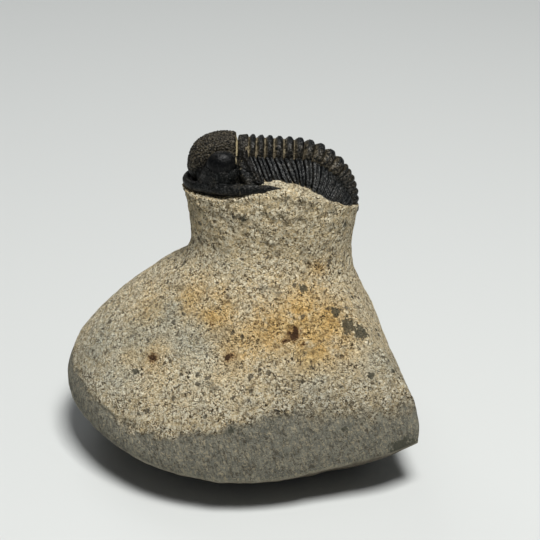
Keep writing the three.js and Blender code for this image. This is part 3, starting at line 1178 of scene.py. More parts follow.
STAINS: dict[Stain, tuple[tuple[float, ...], ...]] = {
    Stain.OCHRE: (
        (-13.1, -7.4, 23.0, 3.0, 0.6), (-7.3, -9.3, 25.6, 3.2, 0.8), (-3.7, -12.0, 25.1, 3.2, 0.9),
        (-0.2, -16.1, 22.2, 3.4, 0.7), (3.9, -15.0, 24.0, 3.6, 0.9), (8.0, -13.3, 24.7, 4.2, 1.0),
        (12.2, -12.6, 24.0, 3.6, 1.0), (9.7, -15.6, 21.9, 4.0, 1.0), (14.0, -15.0, 21.5, 3.0, 0.7),
        (10.2, -7.2, 29.3, 1.6, 0.7), (-12.5, -13.0, 18.5, 2.4, 0.6), (-16.0, -11.5, 18.0, 2.0, 0.5),
        (8.0, 14.0, 24.0, 4.5, 0.7), (-9.0, 12.0, 24.0, 4.0, 0.6), (16.0, 4.0, 24.0, 3.4, 0.6),
    ),
    Stain.RUST: (
        (7.3, -15.0, 23.2, 1.0, 1.0), (6.0, -15.6, 22.6, 0.5, 0.8), (-1.6, -17.0, 20.8, 0.75, 0.9),
        (-12.5, -13.0, 18.5, 0.75, 0.9), (3.0, 17.5, 20.0, 0.8, 0.9), (-4.2, -13.2, 24.1, 0.5, 0.6),
        (8.6, -15.8, 22.3, 0.45, 0.7),
    ),
    Stain.SLATE: (
        (-15.2, -9.4, 20.0, 4.5, 0.9), (-10.8, -9.2, 23.2, 3.5, 1.0), (-7.2, -13.5, 21.6, 3.4, 0.9),
        (-20.5, -6.7, 17.0, 4.5, 0.9), (-18.0, -12.0, 15.5, 3.4, 0.6), (-18.0, 8.0, 18.0, 5.0, 0.8),
        (19.0, -14.0, 18.0, 3.6, 0.6), (10.0, -19.5, 18.0, 5.0, 0.5), (-2.5, -8.6, 31.5, 1.8, 0.6),
    ),
    Stain.PALE: (
        (2.6, -6.4, 42.2, 1.3, 0.9), (4.2, -6.4, 42.0, 1.3, 0.9), (6.0, -6.4, 41.8, 1.0, 0.6),
        (8.0, -6.3, 41.6, 1.1, 0.6), (10.0, -5.9, 40.6, 0.9, 0.5), (-9.4, -12.5, 21.0, 2.2, 0.4),
        (-4.4, -17.5, 18.5, 4.5, 0.35), (10.0, -18.0, 19.0, 3.0, 0.35), (3.0, 6.6, 42.2, 2.0, 0.7),
        (16.5, -15.5, 19.0, 2.6, 0.4), (-17.0, -13.0, 16.0, 3.5, 0.35),
    ),
    Stain.LICHEN: (
        (14.9, -12.2, 23.4, 1.25, 1.0), (16.6, -12.2, 22.2, 1.25, 1.0), (12.9, -11.2, 24.8, 0.95, 0.9),
        (8.4, -9.9, 27.8, 0.85, 0.8), (-15.1, -13.4, 16.3, 0.75, 0.9), (0.2, -7.8, 37.3, 0.8, 0.7),
        (14.4, -4.1, 34.8, 0.7, 0.7), (17.7, -16.7, 17.9, 0.8, 0.7), (21.3, -14.8, 17.3, 0.7, 0.7),
        (-1.4, -23.7, 13.4, 0.8, 0.8), (14.1, -21.3, 11.9, 0.8, 0.7), (22.0, -18.6, 7.4, 2.3, 0.9),
        (13.5, -18.8, 17.5, 0.7, 0.6), (8.0, -19.4, 18.6, 0.7, 0.6), (5.5, -10.9, 26.3, 0.5, 0.6),
        (10.9, -7.0, 30.5, 0.6, 0.6), (-9.0, 15.0, 21.0, 1.2, 0.8), (6.0, 16.0, 20.0, 1.0, 0.8),
    ),
}


@dataclass
class Pedestal:
    """The block of limestone with its neck, and the sediment that fills the animal."""

    outer: tuple = (26, 23.5, 21.5, 21, 21.8, 23.4, 25.6, 28, 29.1, 28, 26.8, 25.6, 24.2, 24, 27, 28.5)
    rim: tuple = (12.2, 12, 12, 12, 12, 12, 12.2, 12.4, 12.2, 12.2, 10.2, 11.8, 15.4, 14.9, 13.8, 12.8)
    lower: tuple = (7.8, 6.6, 6, 7, 8.2, 6.4, 5.3, 7)
    neck_radius: tuple = (12.5, 9.8, 8.2, 9, 10.2, 9.2, 8.2, 10.2)
    neck_height: tuple = (27, 28, 28.5, 28.5, 29.3, 30.6, 30.6, 29)
    slope_power: tuple = (0.84, 0.88, 0.8, 0.7, 0.72, 0.9, 0.96, 0.9)
    top_radius: tuple = (13.5, 10, 7.6, 9.2, 11.6, 9.2, 7.6, 10)
    top_height: tuple = (36.2, 38.0, 40.0, 40.9, 40.8, 40.1, 39.5, 39.3,
                         39.3, 39.3, 39.6, 40.1, 40.6, 40.9, 40.0, 37.9)
    shelf_height: tuple = (36.8, 38.6, 41.3, 42.2, 42.8, 41.3, 40.0, 39.6,
                           39.6, 39.6, 40.0, 41.0, 42.9, 42.2, 41.3, 38.6)
    crown_height: float = 40.5
    inset: float = 0.7
    side_distance: float = 18.95
    side_angle: float = math.radians(8.5)
    foot_share: float = 0.52
    sectors: int = 400
    foot_rows: int = 5
    under_rows: int = 14
    band_rows: int = 20
    slope_rows: int = 92
    neck_rows: int = 46
    shelf_rows: int = 14
    fillet_rows: int = 12
    lump_depth: float = 0.34
    bump_depth: float = 0.15
    mark_depth: float = 0.17
    mark_spacing: float = 1.15
    small_mark_depth: float = 0.12
    vug_depth: float = 0.3
    score_depth: float = 0.07
    crust_depth: float = 0.32
    chip_depth: float = 0.5
    filling_rows: int = 170
    filling_columns: int = 140
    filling_share: float = 0.985
    filling_floor: float = -7.6
    filling_depth: float = 0.46

    def angles(self) -> Array:
        """The angle of each sector's points."""
        return np.arange(self.sectors) * 2 * np.pi / self.sectors

    def edge(self, angles: Array) -> Array:
        """The outer radius at each angle, with the straight break on the tail side.

        Args:
            angles: the angles, in radians.

        Returns:
            A radius for each.
        """
        facing = np.cos(angles - self.side_angle)
        broken = np.where(facing > 0.05, self.side_distance / np.maximum(facing, 0.05), np.inf)
        return np.minimum(around(self.outer, angles), broken)

    def rows(self) -> tuple[Array, Array, Array]:
        """The rows of the block from the middle of the foot to the middle of the top.

        Returns:
            The radius and height of each point, and each row's zone.
        """
        a = self.angles()
        edge, lower, rim = self.edge(a), around(self.lower, a), around(self.rim, a)
        neck_r, neck_z = around(self.neck_radius, a), around(self.neck_height, a)
        top_r, top_z = around(self.top_radius, a), around(self.top_height, a)
        power, shelf = around(self.slope_power, a), around(self.shelf_height, a)
        radii, heights, zones = [], [], []

        def add(radius: Array, height: Array, zone: Zone) -> None:
            """Adds one row.

            Args:
                radius: the radius of each point.
                height: the height of each point.
                zone: the row's zone.
            """
            radii.append(radius)
            heights.append(np.broadcast_to(height, a.shape))
            zones.append(zone)

        def steps(count: int) -> Array:
            """The ends of a count of equal steps from 0 to 1."""
            return np.linspace(0, 1, count + 1)[1:]

        for t in np.linspace(0.04, 1, self.foot_rows):
            add(edge * self.foot_share * t, 0.0, Zone.UNDER)
        for t in steps(self.under_rows):
            add(edge * (self.foot_share + (1 - self.foot_share) * t), lower * t ** 1.85, Zone.UNDER)
        for t in steps(self.band_rows):
            bulge = 0.35 * math.sin(math.pi * t) * (1 - 0.4 * t)
            add(edge - self.inset * t ** 1.5 + bulge, lower + (rim - lower) * t, Zone.BAND)
        for t in steps(self.slope_rows):
            radius = (edge - self.inset) * (1 - t) + neck_r * t
            add(radius, rim + (neck_z - rim) * t ** power, Zone.PECKED)
        for t in steps(self.neck_rows):
            add(neck_r + (top_r - neck_r) * t ** 2.2, neck_z + (top_z - neck_z) * t, Zone.PECKED)
        for t in steps(self.shelf_rows):
            outward, settle = min(t / 0.7, 1), max(0.0, (t - 0.7) / 0.3)
            height = top_z + (shelf - top_z) * math.sin(outward * math.pi / 2)
            height = height * (1 - settle) + self.crown_height * settle
            add(top_r * (1 - 0.2 * outward - 0.76 * settle), height, Zone.PECKED)
        join = self.foot_rows + self.under_rows + self.band_rows + self.slope_rows
        share = bell(np.arange(len(radii)) - join, self.fillet_rows)[:, None]
        radii, heights = (
            part + share * (self.averaged(part) - part) for part in (np.array(radii), np.array(heights)))
        return radii, heights, np.array(zones, float)

    def averaged(self, rows: Array) -> Array:
        """Rows of numbers, each replaced by the mean of the rows near it.

        Args:
            rows: the rows.

        Returns:
            As many rows, smoother from one to the next.
        """
        reach = self.fillet_rows
        padded = np.pad(rows, ((reach, reach), (0, 0)), mode="edge")
        return sum(padded[i:i + len(rows)] for i in range(2 * reach + 1)) / (2 * reach + 1)

    def build(self) -> None:
        """Builds, roughens, stains and dresses the stone."""
        piece = self.block()
        self.join_filling(piece)
        self.stain(piece)
        finish_piece(piece, ["limestone_matrix"], "limestone", LimestoneFinish().material())

    def block(self) -> bpy.types.Object:
        """The block with its pecked and ground surfaces, before it is joined to the filling.

        Returns:
            The block.
        """
        radii, heights, zones = self.rows()
        a = self.angles()
        points = np.stack([STONE_AXIS_X + radii * np.cos(a), radii * np.sin(a), heights], -1)
        piece = loft("limestone_block", points)
        p = points_of(piece)
        push_out(piece, self.relief(p, np.repeat(zones, self.sectors)) * ease(0.0, 1.6, p[:, 2]))
        self.seat_spines(piece)
        return piece

    @staticmethod
    def seat_spines(piece: bpy.types.Object) -> None:
        """Lowers the stone round the two genal spines, so that they lie half sunk in it.

        Args:
            piece: the block.
        """
        head = HeadShield()
        p = points_of(piece)
        cos, sin = math.cos(head.pitch), math.sin(head.pitch)
        x = (p[:, 0] - head.origin[0]) * cos + (p[:, 2] - head.origin[2]) * sin
        share = np.clip(x / head.spine_reach, 0, 1)
        radius, depth, level = head.spine(share)
        line = head.half_width - head.border_radius
        line = line + (head.spine_offset - line) * share
        beside = np.maximum(0, np.abs(np.abs(p[:, 1]) - line) - radius * 0.8)
        ahead = np.maximum(0, -x - 1.0) + np.maximum(0, x - head.spine_reach - 0.1)
        most = level - 0.25 * depth + beside * 1.3 + ahead
        top = head.origin[2] + x * sin + most * cos
        near = (p[:, 2] > 36) & (p[:, 0] > -2)
        p[:, 2] = np.where(near, np.minimum(p[:, 2], top), p[:, 2])
        move_points(piece, p)

    def relief(self, p: Array, zone: Array) -> Array:
        """How far each point of the plain block moves out: lumps, peck marks and scores.

        Args:
            p: the points.
            zone: each point's zone.

        Returns:
            Distances outwards, in millimetres.
        """
        pecked = ease(Zone.BAND, Zone.PECKED, zone)
        band = bell(zone - Zone.BAND, 0.4)
        under = ease(0.5, 0.0, zone)
        neck = ease(26, 31, p[:, 2]) * pecked
        moved = self.lump_depth * fractal(p, 6.5, 3, 3) * (0.35 * band + pecked * (1 - 0.45 * neck) + under)
        moved += self.bump_depth * fractal(p, 1.7, 11, 3, 0.65) * (pecked + 0.2 * band + 0.8 * under)
        moved -= self.mark_depth * pits(p, self.mark_spacing, 21, 0.5) * (pecked + 0.5 * under)
        moved -= self.small_mark_depth * pits(p, 0.72, 31, 0.42) * pecked
        moved -= self.vug_depth * pits(p, 2.6, 51, 0.1) * (0.6 * band + 0.4 * pecked)
        x, y, z = p.T
        leaning = np.stack([x * 0.91 - z * 0.41, y, (x * 0.41 + z * 0.91) * 0.16], -1)
        moved += self.score_depth * fractal(leaning, 0.9, 61, 2) * band
        moved += self.crust_depth * fractal(p, 0.9, 77, 3, 0.65) * ease(35, 37.5, z) * pecked
        a = np.arctan2(y, x - STONE_AXIS_X)
        chipped = bell(z - around(self.rim, a), 0.9) * ease(-0.1, 0.7, fractal(p, 1.3, 66, 3, 0.6))
        return moved - self.chip_depth * chipped

    def join_filling(self, piece: bpy.types.Object) -> None:
        """Joins the sediment that fills the animal from inside to the block.

        Args:
            piece: the block.
        """
        s = np.linspace(-0.45, ARCH.tail_end - 0.5, self.filling_rows)[:, None]
        shares = ARCH.stations(4.0, self.filling_columns)[None, :] * self.filling_share
        axis, _, width, _ = ARCH.sizes(s)
        v = shares * width
        plain = ARCH.height(s + 0 * v, v)
        skin = LINE.place(s + ARCH.lean(shares, s), v, plain)
        beside = ease(0.0, 0.6, np.abs(v) - axis)
        rear = ease(4.5, 9.0, s)
        tips = ease(0.82, 1.0, np.abs(shares))
        sunk = self.filling_depth + 0.15 * rear + 0.1 * beside - 0.2 * tips
        n = plain - sunk + 0.1 * fractal(skin, 0.8, 81, 3)
        top = LINE.place(s + ARCH.lean(shares, s), v, n)
        floor_shares = np.array([[1.0, 0.5, 0.0, -0.5, -1.0]])
        low = LINE.place(s, floor_shares * 0.8 * width, self.filling_floor)
        filling = loft("filling", np.concatenate([top, low], 1))
        joiner = piece.modifiers.new("filling", "BOOLEAN")
        joiner.operation = "UNION"
        joiner.solver = "MANIFOLD"
        joiner.object = filling
        bake_modifiers(piece)
        bpy.data.objects.remove(filling)

    def stain(self, piece: bpy.types.Object) -> None:
        """Stores where the stone is ground, stained or silty, and where its painted shade and painted
        highlight lie.

        Args:
            piece: the stone.
        """
        p = points_of(piece)
        a = np.arctan2(p[:, 1], p[:, 0] - STONE_AXIS_X)
        rim = around(self.rim, a)
        blurred = ease(4.0, 12.0, p[:, 0]) * (p[:, 1] < 0)
        ragged = (1.5 + 0.9 * blurred) * fractal(p, 1.2, 91, 3, 0.7)
        lower = around(self.lower, a)
        wide = 0.4 + 1.2 * blurred
        on_band = ease(1, -1, (p[:, 2] - rim + ragged) / wide)
        down = ease(-0.2, -0.6, normals_of(piece)[:, 2])
        paint(piece, "ground", on_band)
        paint(piece, "arris", 4 * on_band * (1 - on_band))
        # Painted highlight: a pale line along the lower edge of the band.
        paint(piece, "edge_highlight", bell(p[:, 2] - lower, 0.16) * (p[:, 2] > lower - 0.1))
        # Painted shade: the faces that look down, under the overhang, are darkened.
        paint(piece, "under", down)
        for kind, patches in STAINS.items():
            total = np.zeros(len(p))
            for patch in patches:
                total = np.maximum(total, Patch(*patch).strength_at(p))
            paint(piece, kind.value, total)
        s, n = LINE.unplace(p)
        side = np.abs(p[:, 1])
        depth = n - ARCH.height(s, side)
        filling = ease(-1.3, -0.9, depth) * ease(0.0, -0.3, depth) * ease(5.6, 5.2, side)
        axis, _, width, _ = ARCH.sizes(s)
        end = ARCH.tail_end
        filling = filling * ease(0.97, 0.9, side / width) * ease(end - 0.2, end - 0.9, s) * (p[:, 2] > 30)
        rings = ease(0.4, -0.1, side - axis)
        rear = ease(5.5, 8.5, s)
        paint(piece, "silt", filling * rings * (0.9 - 0.4 * rear))
        paint(piece, "shade", filling * (1 - rings) * 0.95 + filling * rings * (0.45 + 0.3 * rear))
        # Painted shade in the peck pits, the same pits that the relief cuts.
        paint(piece, "hollow", 0.6 * pits(p, self.mark_spacing, 21, 0.5) * (1 - on_band))
        # Darker and cooler up to 7 mm above the rim, more so towards the tail side.
        over_rim = ease(7.0, 0.0, p[:, 2] - rim) * (1 - on_band)
        paint(piece, "rim_dimming", over_rim * (0.55 + 0.45 * ease(0, 14, p[:, 0])))


# ---- The head -------------------------------------------------------------------------------

def smooth_union(a: Array, b: Array, reach: float) -> Array:
    """Two solids joined with a fillet of a reach, as distances."""
    h = np.clip(0.5 + 0.5 * (b - a) / reach, 0, 1)
    return b + (a - b) * h - reach * h * (1 - h)


def creased_union(a: Array, b: Array, width: float, depth: float) -> Array:
    """Two solids joined with a furrow along the seam, as distances."""
    return np.minimum(a, b) + depth * bell(a - b, width)


def rounded_overlap(a: Array, b: Array, reach: float) -> Array:
    """What two solids share, with a rounded edge, as distances."""
    return -smooth_union(-a, -b, reach)


@dataclass
class Grid:
    """A block of sample points in the head's frame."""

    low: tuple = (-9.8, -8.4, -2.2)
    high: tuple = (6.3, 8.4, 7.6)
    step: float = 0.137

    def axes(self) -> tuple[Array, Array, Array]:
        """The sample places along each axis."""
        return tuple(np.arange(a, b, self.step) for a, b in zip(self.low, self.high))

    def points(self) -> tuple[Array, Array, Array]:
        """The samples' coordinates, as three arrays that broadcast together."""
        x, y, z = self.axes()
        return x[:, None, None], y[None, :, None], z[None, None, :]

    def surface(self, field: Array) -> tuple[Array, Array]:
        """The zero surface of a field of distances, by surface nets.

        Args:
            field: distances at the samples, below zero inside.

        Returns:
            The surface's points and its four-sided faces, facing out.
        """
        inside = field < 0
        shape = np.array(field.shape) - 1
        corners = [np.array(c) for c in product((0, 1), repeat=3)]
        count = np.zeros(shape, int)
        for c in corners:
            count += inside[c[0]:c[0] + shape[0], c[1]:c[1] + shape[1], c[2]:c[2] + shape[2]]
        cells = np.argwhere((count > 0) & (count < 8))
        number = np.full(shape, -1)
        number[tuple(cells.T)] = np.arange(len(cells))
        total, hits = np.zeros((len(cells), 3)), np.zeros(len(cells))
        for i, a in enumerate(corners):
            for b in corners[i + 1:]:
                if np.abs(a - b).sum() != 1:
                    continue
                fa, fb = field[tuple((cells + a).T)], field[tuple((cells + b).T)]
                crossed = (fa < 0) != (fb < 0)
                t = np.where(crossed, fa / np.where(crossed, fa - fb, 1), 0)
                total += np.where(crossed[:, None], a + t[:, None] * (b - a), 0)
                hits += crossed
        points = (cells + total / hits[:, None]) * self.step + np.array(self.low)
        faces = []
        for axis in range(3):
            step = np.eye(3, dtype=int)[axis]
            others = [k for k in range(3) if k != axis]
            here = inside[tuple(slice(1, -1) for _ in range(3))]
            ahead = inside[tuple(slice(1 + s, field.shape[k] - 1 + s) for k, s in enumerate(step))]
            crossings = np.argwhere(here != ahead) + 1
            outward = inside[tuple(crossings.T)]
            one, two = np.eye(3, dtype=int)[others[0]], np.eye(3, dtype=int)[others[1]]
            ring = [crossings - one - two, crossings - two, crossings, crossings - one]
            quads = np.stack([number[tuple(np.minimum(c, shape - 1).T)] for c in ring], -1)
            forward = outward if axis != 1 else ~outward
            faces.append(np.where(forward[:, None], quads, quads[:, ::-1]))
        return points, np.concatenate(faces)


@dataclass(frozen=True)
class Egg:
    """A rounded solid of the head: its middle and its half sizes."""

    centre: tuple[float, float, float]
    half: tuple[float, float, float]

    def distance(self, x: Array, y: Array, z: Array) -> Array:
        """Distance to its surface, below zero inside.

        Args:
            x: places back from the hind margin.
            y: places across.
            z: heights.

        Returns:
            Distances.
        """
        parts = [places - middle for places, middle in zip((x, y, z), self.centre)]
        near = np.sqrt(sum((p / h) ** 2 for p, h in zip(parts, self.half)))
        slope = np.sqrt(sum((p / h ** 2) ** 2 for p, h in zip(parts, self.half)))
        return near * (near - 1) / np.maximum(slope, 1e-6)


@dataclass
class HeadShield:
    """The head: a granular glabella, cheeks with a rolled border and spines, and two large eyes."""

    origin: tuple = (0.3, 0.0, 42.0)
    pitch: float = math.radians(7.2)
    length: float = 9.0
    half_width: float = 7.3
    border_radius: float = 0.76
    border_depth: float = 0.92
    border_level: float = -0.72
    roll: float = 2.3
    point: float = 1.2
    spine_reach: float = 5.5
    spine_offset: float = 7.0
    floor: float = -1.75
    back: float = 0.95
    glabella_bulge: float = 2.25
    dome: Egg = Egg((-3.0, 0, -1.2), (4.5, 5.85, 4.3))
    eye: Egg = Egg((-2.75, 3.7, 2.2), (2.2, 1.7, 1.95))
    socket: Egg = Egg((-2.9, 3.7, 0.9), (2.75, 1.8, 2.1))
    eye_floor: float = 1.1
    ring_radius: float = 2.75
    ring_height: float = 4.62
    rim_half: float = 0.42
    apron_half: float = 1.1
    glabella_crease: tuple = (0.45, 0.34)
    eye_crease: tuple = (0.4, 0.14)
    border_crease: tuple = (0.5, 0.16)
    rim_crease: tuple = (0.3, 0.14)
    ring_crease: tuple = (0.2, 0.1)
    suture: tuple = ((-10, 3.3), (-6.4, 3.3), (-4.6, 3.55), (-2.8, 3.95), (-1.3, 3.6), (-0.6, 4.3),
                     (1.6, 5.3))
    suture_half: float = 0.03
    granule_spacing: float = 0.34
    granule_height: float = 0.12

    def to_specimen(self, points: Array) -> Array:
        """Points of the head's frame as points of the specimen's frame.

        Args:
            points: the points.

        Returns:
            As many points.
        """
        cos, sin = math.cos(self.pitch), math.sin(self.pitch)
        x, y, z = points.T
        return np.stack([x * cos - z * sin, y, x * sin + z * cos], -1) + np.array(self.origin)

    def spine(self, share: Array) -> tuple[Array, Array, Array]:
        """A genal spine's section at a share of its reach.

        Args:
            share: the share, 0 where it leaves the border and 1 at its tip.

        Returns:
            The half width, the half depth and the level.
        """
        radius = self.border_radius * (1 - 0.86 * share ** 1.7)
        depth = self.border_depth * (1 - 0.86 * share ** 1.9)
        return radius, depth, self.border_level - 0.55 * share ** 1.4

    def border(self, x: Array, y: Array, z: Array) -> Array:
        """Distance to the rolled border and its genal spines.

        Args:
            x: places back from the hind margin.
            y: places across.
            z: heights.

        Returns:
            Distances, below zero inside.
        """
        bow = np.linspace(0, np.pi / 2, 260)
        line_x = -(self.length - self.border_radius) * np.cos(bow) ** self.point
        line_y = (self.half_width - self.border_radius) * np.sin(bow) ** self.point
        back = np.linspace(0, 1, 140)[1:]
        line_x = np.concatenate([line_x, back * self.spine_reach])
        line_y = np.concatenate([line_y, line_y[-1] + (self.spine_offset - line_y[-1]) * back])
        along = np.concatenate([np.zeros(len(bow)), back])
        flat_x, flat_y = np.broadcast_arrays(x[..., 0], np.abs(y[..., 0]))
        nearest = np.full(flat_x.shape, np.inf)
        place = np.zeros(flat_x.shape)
        for px, py, t in zip(line_x, line_y, along):
            gap = (flat_x - px) ** 2 + (flat_y - py) ** 2
            closer = gap < nearest
            nearest = np.where(closer, gap, nearest)
            place = np.where(closer, t, place)
        radius, depth, level = (part[..., None] for part in self.spine(place))
        level = level - 0.3 * ease(-5.0, -8.3, flat_x)[..., None]
        across = (np.sqrt(nearest)[..., None] / radius) ** self.roll
        up = (np.abs(z - level) / depth) ** self.roll
        return ((across + up) ** (1 / self.roll) - 1) * radius

    def glabella(self, grid: Grid) -> Array:
        """Distance to the swollen middle of the head, before it is cut off behind.

        Args:
            grid: the sample points.

        Returns:
            Distances, below zero inside.
        """
        x, y, z = grid.points()
        bulge, roll = self.glabella_bulge, self.roll
        profile = (np.abs(x + 2.85) / 5.05) ** bulge + (np.abs(z - 0.3) / 5.1) ** bulge
        shape = ((np.abs(y) / 3.2) ** roll + profile ** (roll / bulge)) ** (1 / roll)
        slope = np.sqrt(sum(g ** 2 for g in np.gradient(shape, grid.step)))
        return (shape - 1) / np.maximum(slope, 0.06)

    def hind_rim(self, side: Array, across: Array, crest: Array, hind: Array) -> Array:
        """Distance to the rim along the hind margin, with the apron below it.

        Args:
            side: distances from the middle line.
            across: places back, level with the stone.
            crest: distances below the crest of the back.
            hind: where the hind margin lies.

        Returns:
            Distances, below zero inside.
        """
        flank = -crest - ARCH.height(np.zeros((1, 1, 1)), side * 0.93) - 0.05
        half, reach = self.rim_half, self.apron_half
        rim = rounded_overlap(flank * 0.62, np.abs(across - hind + half) - half, 0.3)
        rim = rim + 0.16 * bell(across - hind + 0.5, 0.13)
        apron = rounded_overlap(flank * 0.62 + 0.3, np.abs(across - hind + reach) - reach, 0.3)
        rim = smooth_union(rim, apron + 0.1 * bell(across - hind + 1.2, 0.1), 0.15)
        return rounded_overlap(rounded_overlap(rim, side - 6.3, 0.3), 2.3 - side, 0.2)

    def past_suture(self, x: Array, side: Array) -> Array:
        """How far outside the line between cranidium and free cheek each sample is.

        Args:
            x: places back from the hind margin.
            side: distances from the middle line.

        Returns:
            Distances, below zero on the cranidium.
        """
        cut_x, cut_y = np.array(self.suture).T
        fine = np.linspace(cut_x[0], cut_x[-1], 200)
        bent = np.interp(fine, cut_x, cut_y)
        bent = np.convolve(np.pad(bent, 9, mode="edge"), np.ones(19) / 19, mode="valid")
        return side - np.interp(x, fine, bent)

    def fields(self, grid: Grid) -> dict[str, Array]:
        """The head's solids as distances, one for each piece.

        Args:
            grid: the sample points.

        Returns:
            The distances by the piece's name.
        """
        x, y, z = grid.points()
        side = np.abs(y)
        across = self.origin[0] + x * math.cos(self.pitch) - z * math.sin(self.pitch)
        glabella = rounded_overlap(self.glabella(grid), across + 0.8, 0.5)
        ring = np.sqrt((side / self.ring_radius) ** 2 + (np.maximum(z, 0) / self.ring_height) ** 2)
        ring = (ring - 1) * self.ring_radius
        occipital = rounded_overlap(ring, np.abs(across - 0.24) - 0.79, 0.22)
        floor_ring = rounded_overlap(ring + 0.5, np.abs(across + 0.4) - 0.9, 0.1)
        crest = LINE.start_z - (self.origin[2] + x * math.sin(self.pitch) + z * math.cos(self.pitch))
        hind = self.back + ARCH.lean(side / ARCH.width)
        rim = self.hind_rim(side, across, crest, hind)
        eye = self.eye.distance(x, side, z)
        power = 2 / self.point
        outline = (np.abs(x / 8.5) ** power + np.abs(y / 6.8) ** power) ** (1 / power)
        bed = np.maximum((outline - 1) * 6.8, np.abs(z + 1.1) - 0.7)
        dome = smooth_union(self.dome.distance(x, side, z), self.socket.distance(x, side, z), 0.9)
        dome = smooth_union(dome, bed, 0.35)
        cheeks = creased_union(dome, self.border(x, y, z), *self.border_crease)
        cheeks = creased_union(cheeks, rim, *self.rim_crease)
        middle = creased_union(cheeks, glabella, *self.glabella_crease)
        middle = np.minimum(creased_union(middle, occipital, *self.ring_crease), floor_ring)
        lobe = creased_union(middle, eye, *self.eye_crease)
        base = np.maximum(self.floor - z, across - hind)
        spined = np.maximum(self.floor - z, np.where(side > 6.0, -1.0, across - hind))
        past = self.past_suture(x, side)
        outside = self.suture_half - past
        found = {"cranidium": np.maximum(rounded_overlap(lobe, base, 0.3), past + 0.02)}
        free = np.maximum(rounded_overlap(cheeks, spined, 0.25), outside)
        free = smooth_union(free, np.maximum(eye + 0.12, outside), 0.5)
        free = np.maximum(free, 0.02 - eye)
        lens = np.maximum(np.maximum(eye, outside), self.eye_floor - z)
        lens = np.maximum(np.maximum(eye, 0.03 - past), 1.1 - z)
        for label, sign in (("left", -1), ("right", 1)):
            half = -sign * y
            found[f"{label}_free_cheek"] = np.maximum(free, half)
            found[f"{label}_eye"] = np.maximum(lens, half)
        return found

    def plate(self, name: str, grid: Grid, field: Array) -> bpy.types.Object:
        """One closed piece of the head, rounded by one level of subdivision.

        Args:
            name: the piece's name.
            grid: the sample points.
            field: its distances.

        Returns:
            The new piece.
        """
        points, faces = grid.surface(field)
        piece = new_mesh(name, self.to_specimen(points), faces)
        refine(piece, 1)
        return piece

    def granulate(self, piece: bpy.types.Object, where: Callable[[Array], Array], spacing: float,
                  height: float, seed: int) -> None:
        """Raises round granules on part of a piece.

        Args:
            piece: the piece.
            where: gives each point's share of the full height, 0 for none.
            spacing: the least distance between two granules.
            height: a granule's height.
            seed: which scatter to take.
        """
        p = points_of(piece)
        share = where(p)
        allowed = share > 0.02
        order = np.random.default_rng(seed).permutation(np.flatnonzero(allowed))
        free = np.zeros(len(p), bool)
        free[order] = True
        tree = KDTree(len(order))
        for i in order:
            tree.insert(p[i], int(i))
        tree.balance()
        seeds = []
        for i in order:
            if free[i]:
                seeds.append(i)
                for _, near, _ in tree.find_range(p[i], spacing):
                    free[near] = False
        knobs = KDTree(len(seeds))
        for k, i in enumerate(seeds):
            knobs.insert(p[i], k)
        knobs.balance()
        sizes = np.random.default_rng(seed + 1).uniform(0.75, 1.15, len(seeds))
        raised = np.zeros(len(p))
        for i in order:
            _, k, gap = knobs.find(p[i])
            reach = gap / (0.56 * spacing * sizes[k])
            raised[i] = share[i] * height * sizes[k] * max(0.0, 1 - reach ** 2)
        push_out(piece, raised)
        # Painted highlight on the granules' tops.
        paint(piece, "wear_and_highlight", 0.8 * ease(0.55, 1.0, raised / height))
        paint(piece, "warm", 0.75 * share * ease(0.6, 0.1, raised / height))

    def build(self) -> None:
        """Builds and dresses the cranidium, the free cheeks and the eyes."""
        grid = Grid()
        fields = self.fields(grid)
        smooth = ShellFinish("cheek_shell", black=(7, 9, 9), brown_share=0.12, silt_share=0.75,
                             relief=1.3, glint=0.4).material()
        rough = ShellFinish("glabella_shell", black=(9, 9, 8), brown=(86, 78, 61), wear_and_highlight=(126, 119, 100),
                            brown_share=0.3, silt_share=0.8, wear_and_highlight_share=0.65, roughness=0.42,
                            glint=0.4).material()
        eyes = ShellFinish("eye_surface", black=(7, 8, 9), brown_share=0.06, silt_share=0.3,
                           wear_and_highlight_share=0.15, relief=0.5, glint=0.15).material()
        middle = self.plate("cranidium_plate", grid, fields["cranidium"])
        self.roughen(middle, 5)
        self.granulate(middle, self.on_glabella, self.granule_spacing, self.granule_height, 7)
        self.dust(middle)
        finish_piece(middle, ["cranidium"], "glabella_shell", rough)
        for label in ("left", "right"):
            cheek = self.plate(f"{label}_cheek_plate", grid, fields[f"{label}_free_cheek"])
            self.roughen(cheek, 6)
            self.dust(cheek)
            finish_piece(cheek, [f"{label}_free_cheek"], "cheek_shell", smooth)
            lens = self.plate(f"{label}_eye_lens", grid, fields[f"{label}_eye"])
            self.dust(lens)
            finish_piece(lens, [f"{label}_eye"], "eye_surface", eyes)

    @staticmethod
    def on_glabella(p: Array) -> Array:
        """Each point's share of granules: full on the glabella, slight on the occipital ring.

        Args:
            p: the points.

        Returns:
            A share for each.
        """
        side = np.abs(p[:, 1])
        front = ease(-0.7, -0.95, p[:, 0]) * ease(3.15, 2.75, side) * ease(41.4, 42.2, p[:, 2])
        above = ease(43.6, 44.6, p[:, 2] + 0.9 * np.maximum(0, -p[:, 0] - 4.6))
        ring = ease(-0.75, -0.5, p[:, 0]) * ease(2.4, 2.0, side) * ease(44.8, 45.4, p[:, 2])
        return np.maximum(front * above, 0.35 * ring)

    @staticmethod
    def roughen(piece: bpy.types.Object, seed: int) -> None:
        """Gives a plate the slight unevenness of preserved shell."""
        p = points_of(piece)
        push_out(piece, 0.035 * fractal(p, 1.1, seed, 2) + 0.018 * fractal(p, 0.3, seed + 9, 2))

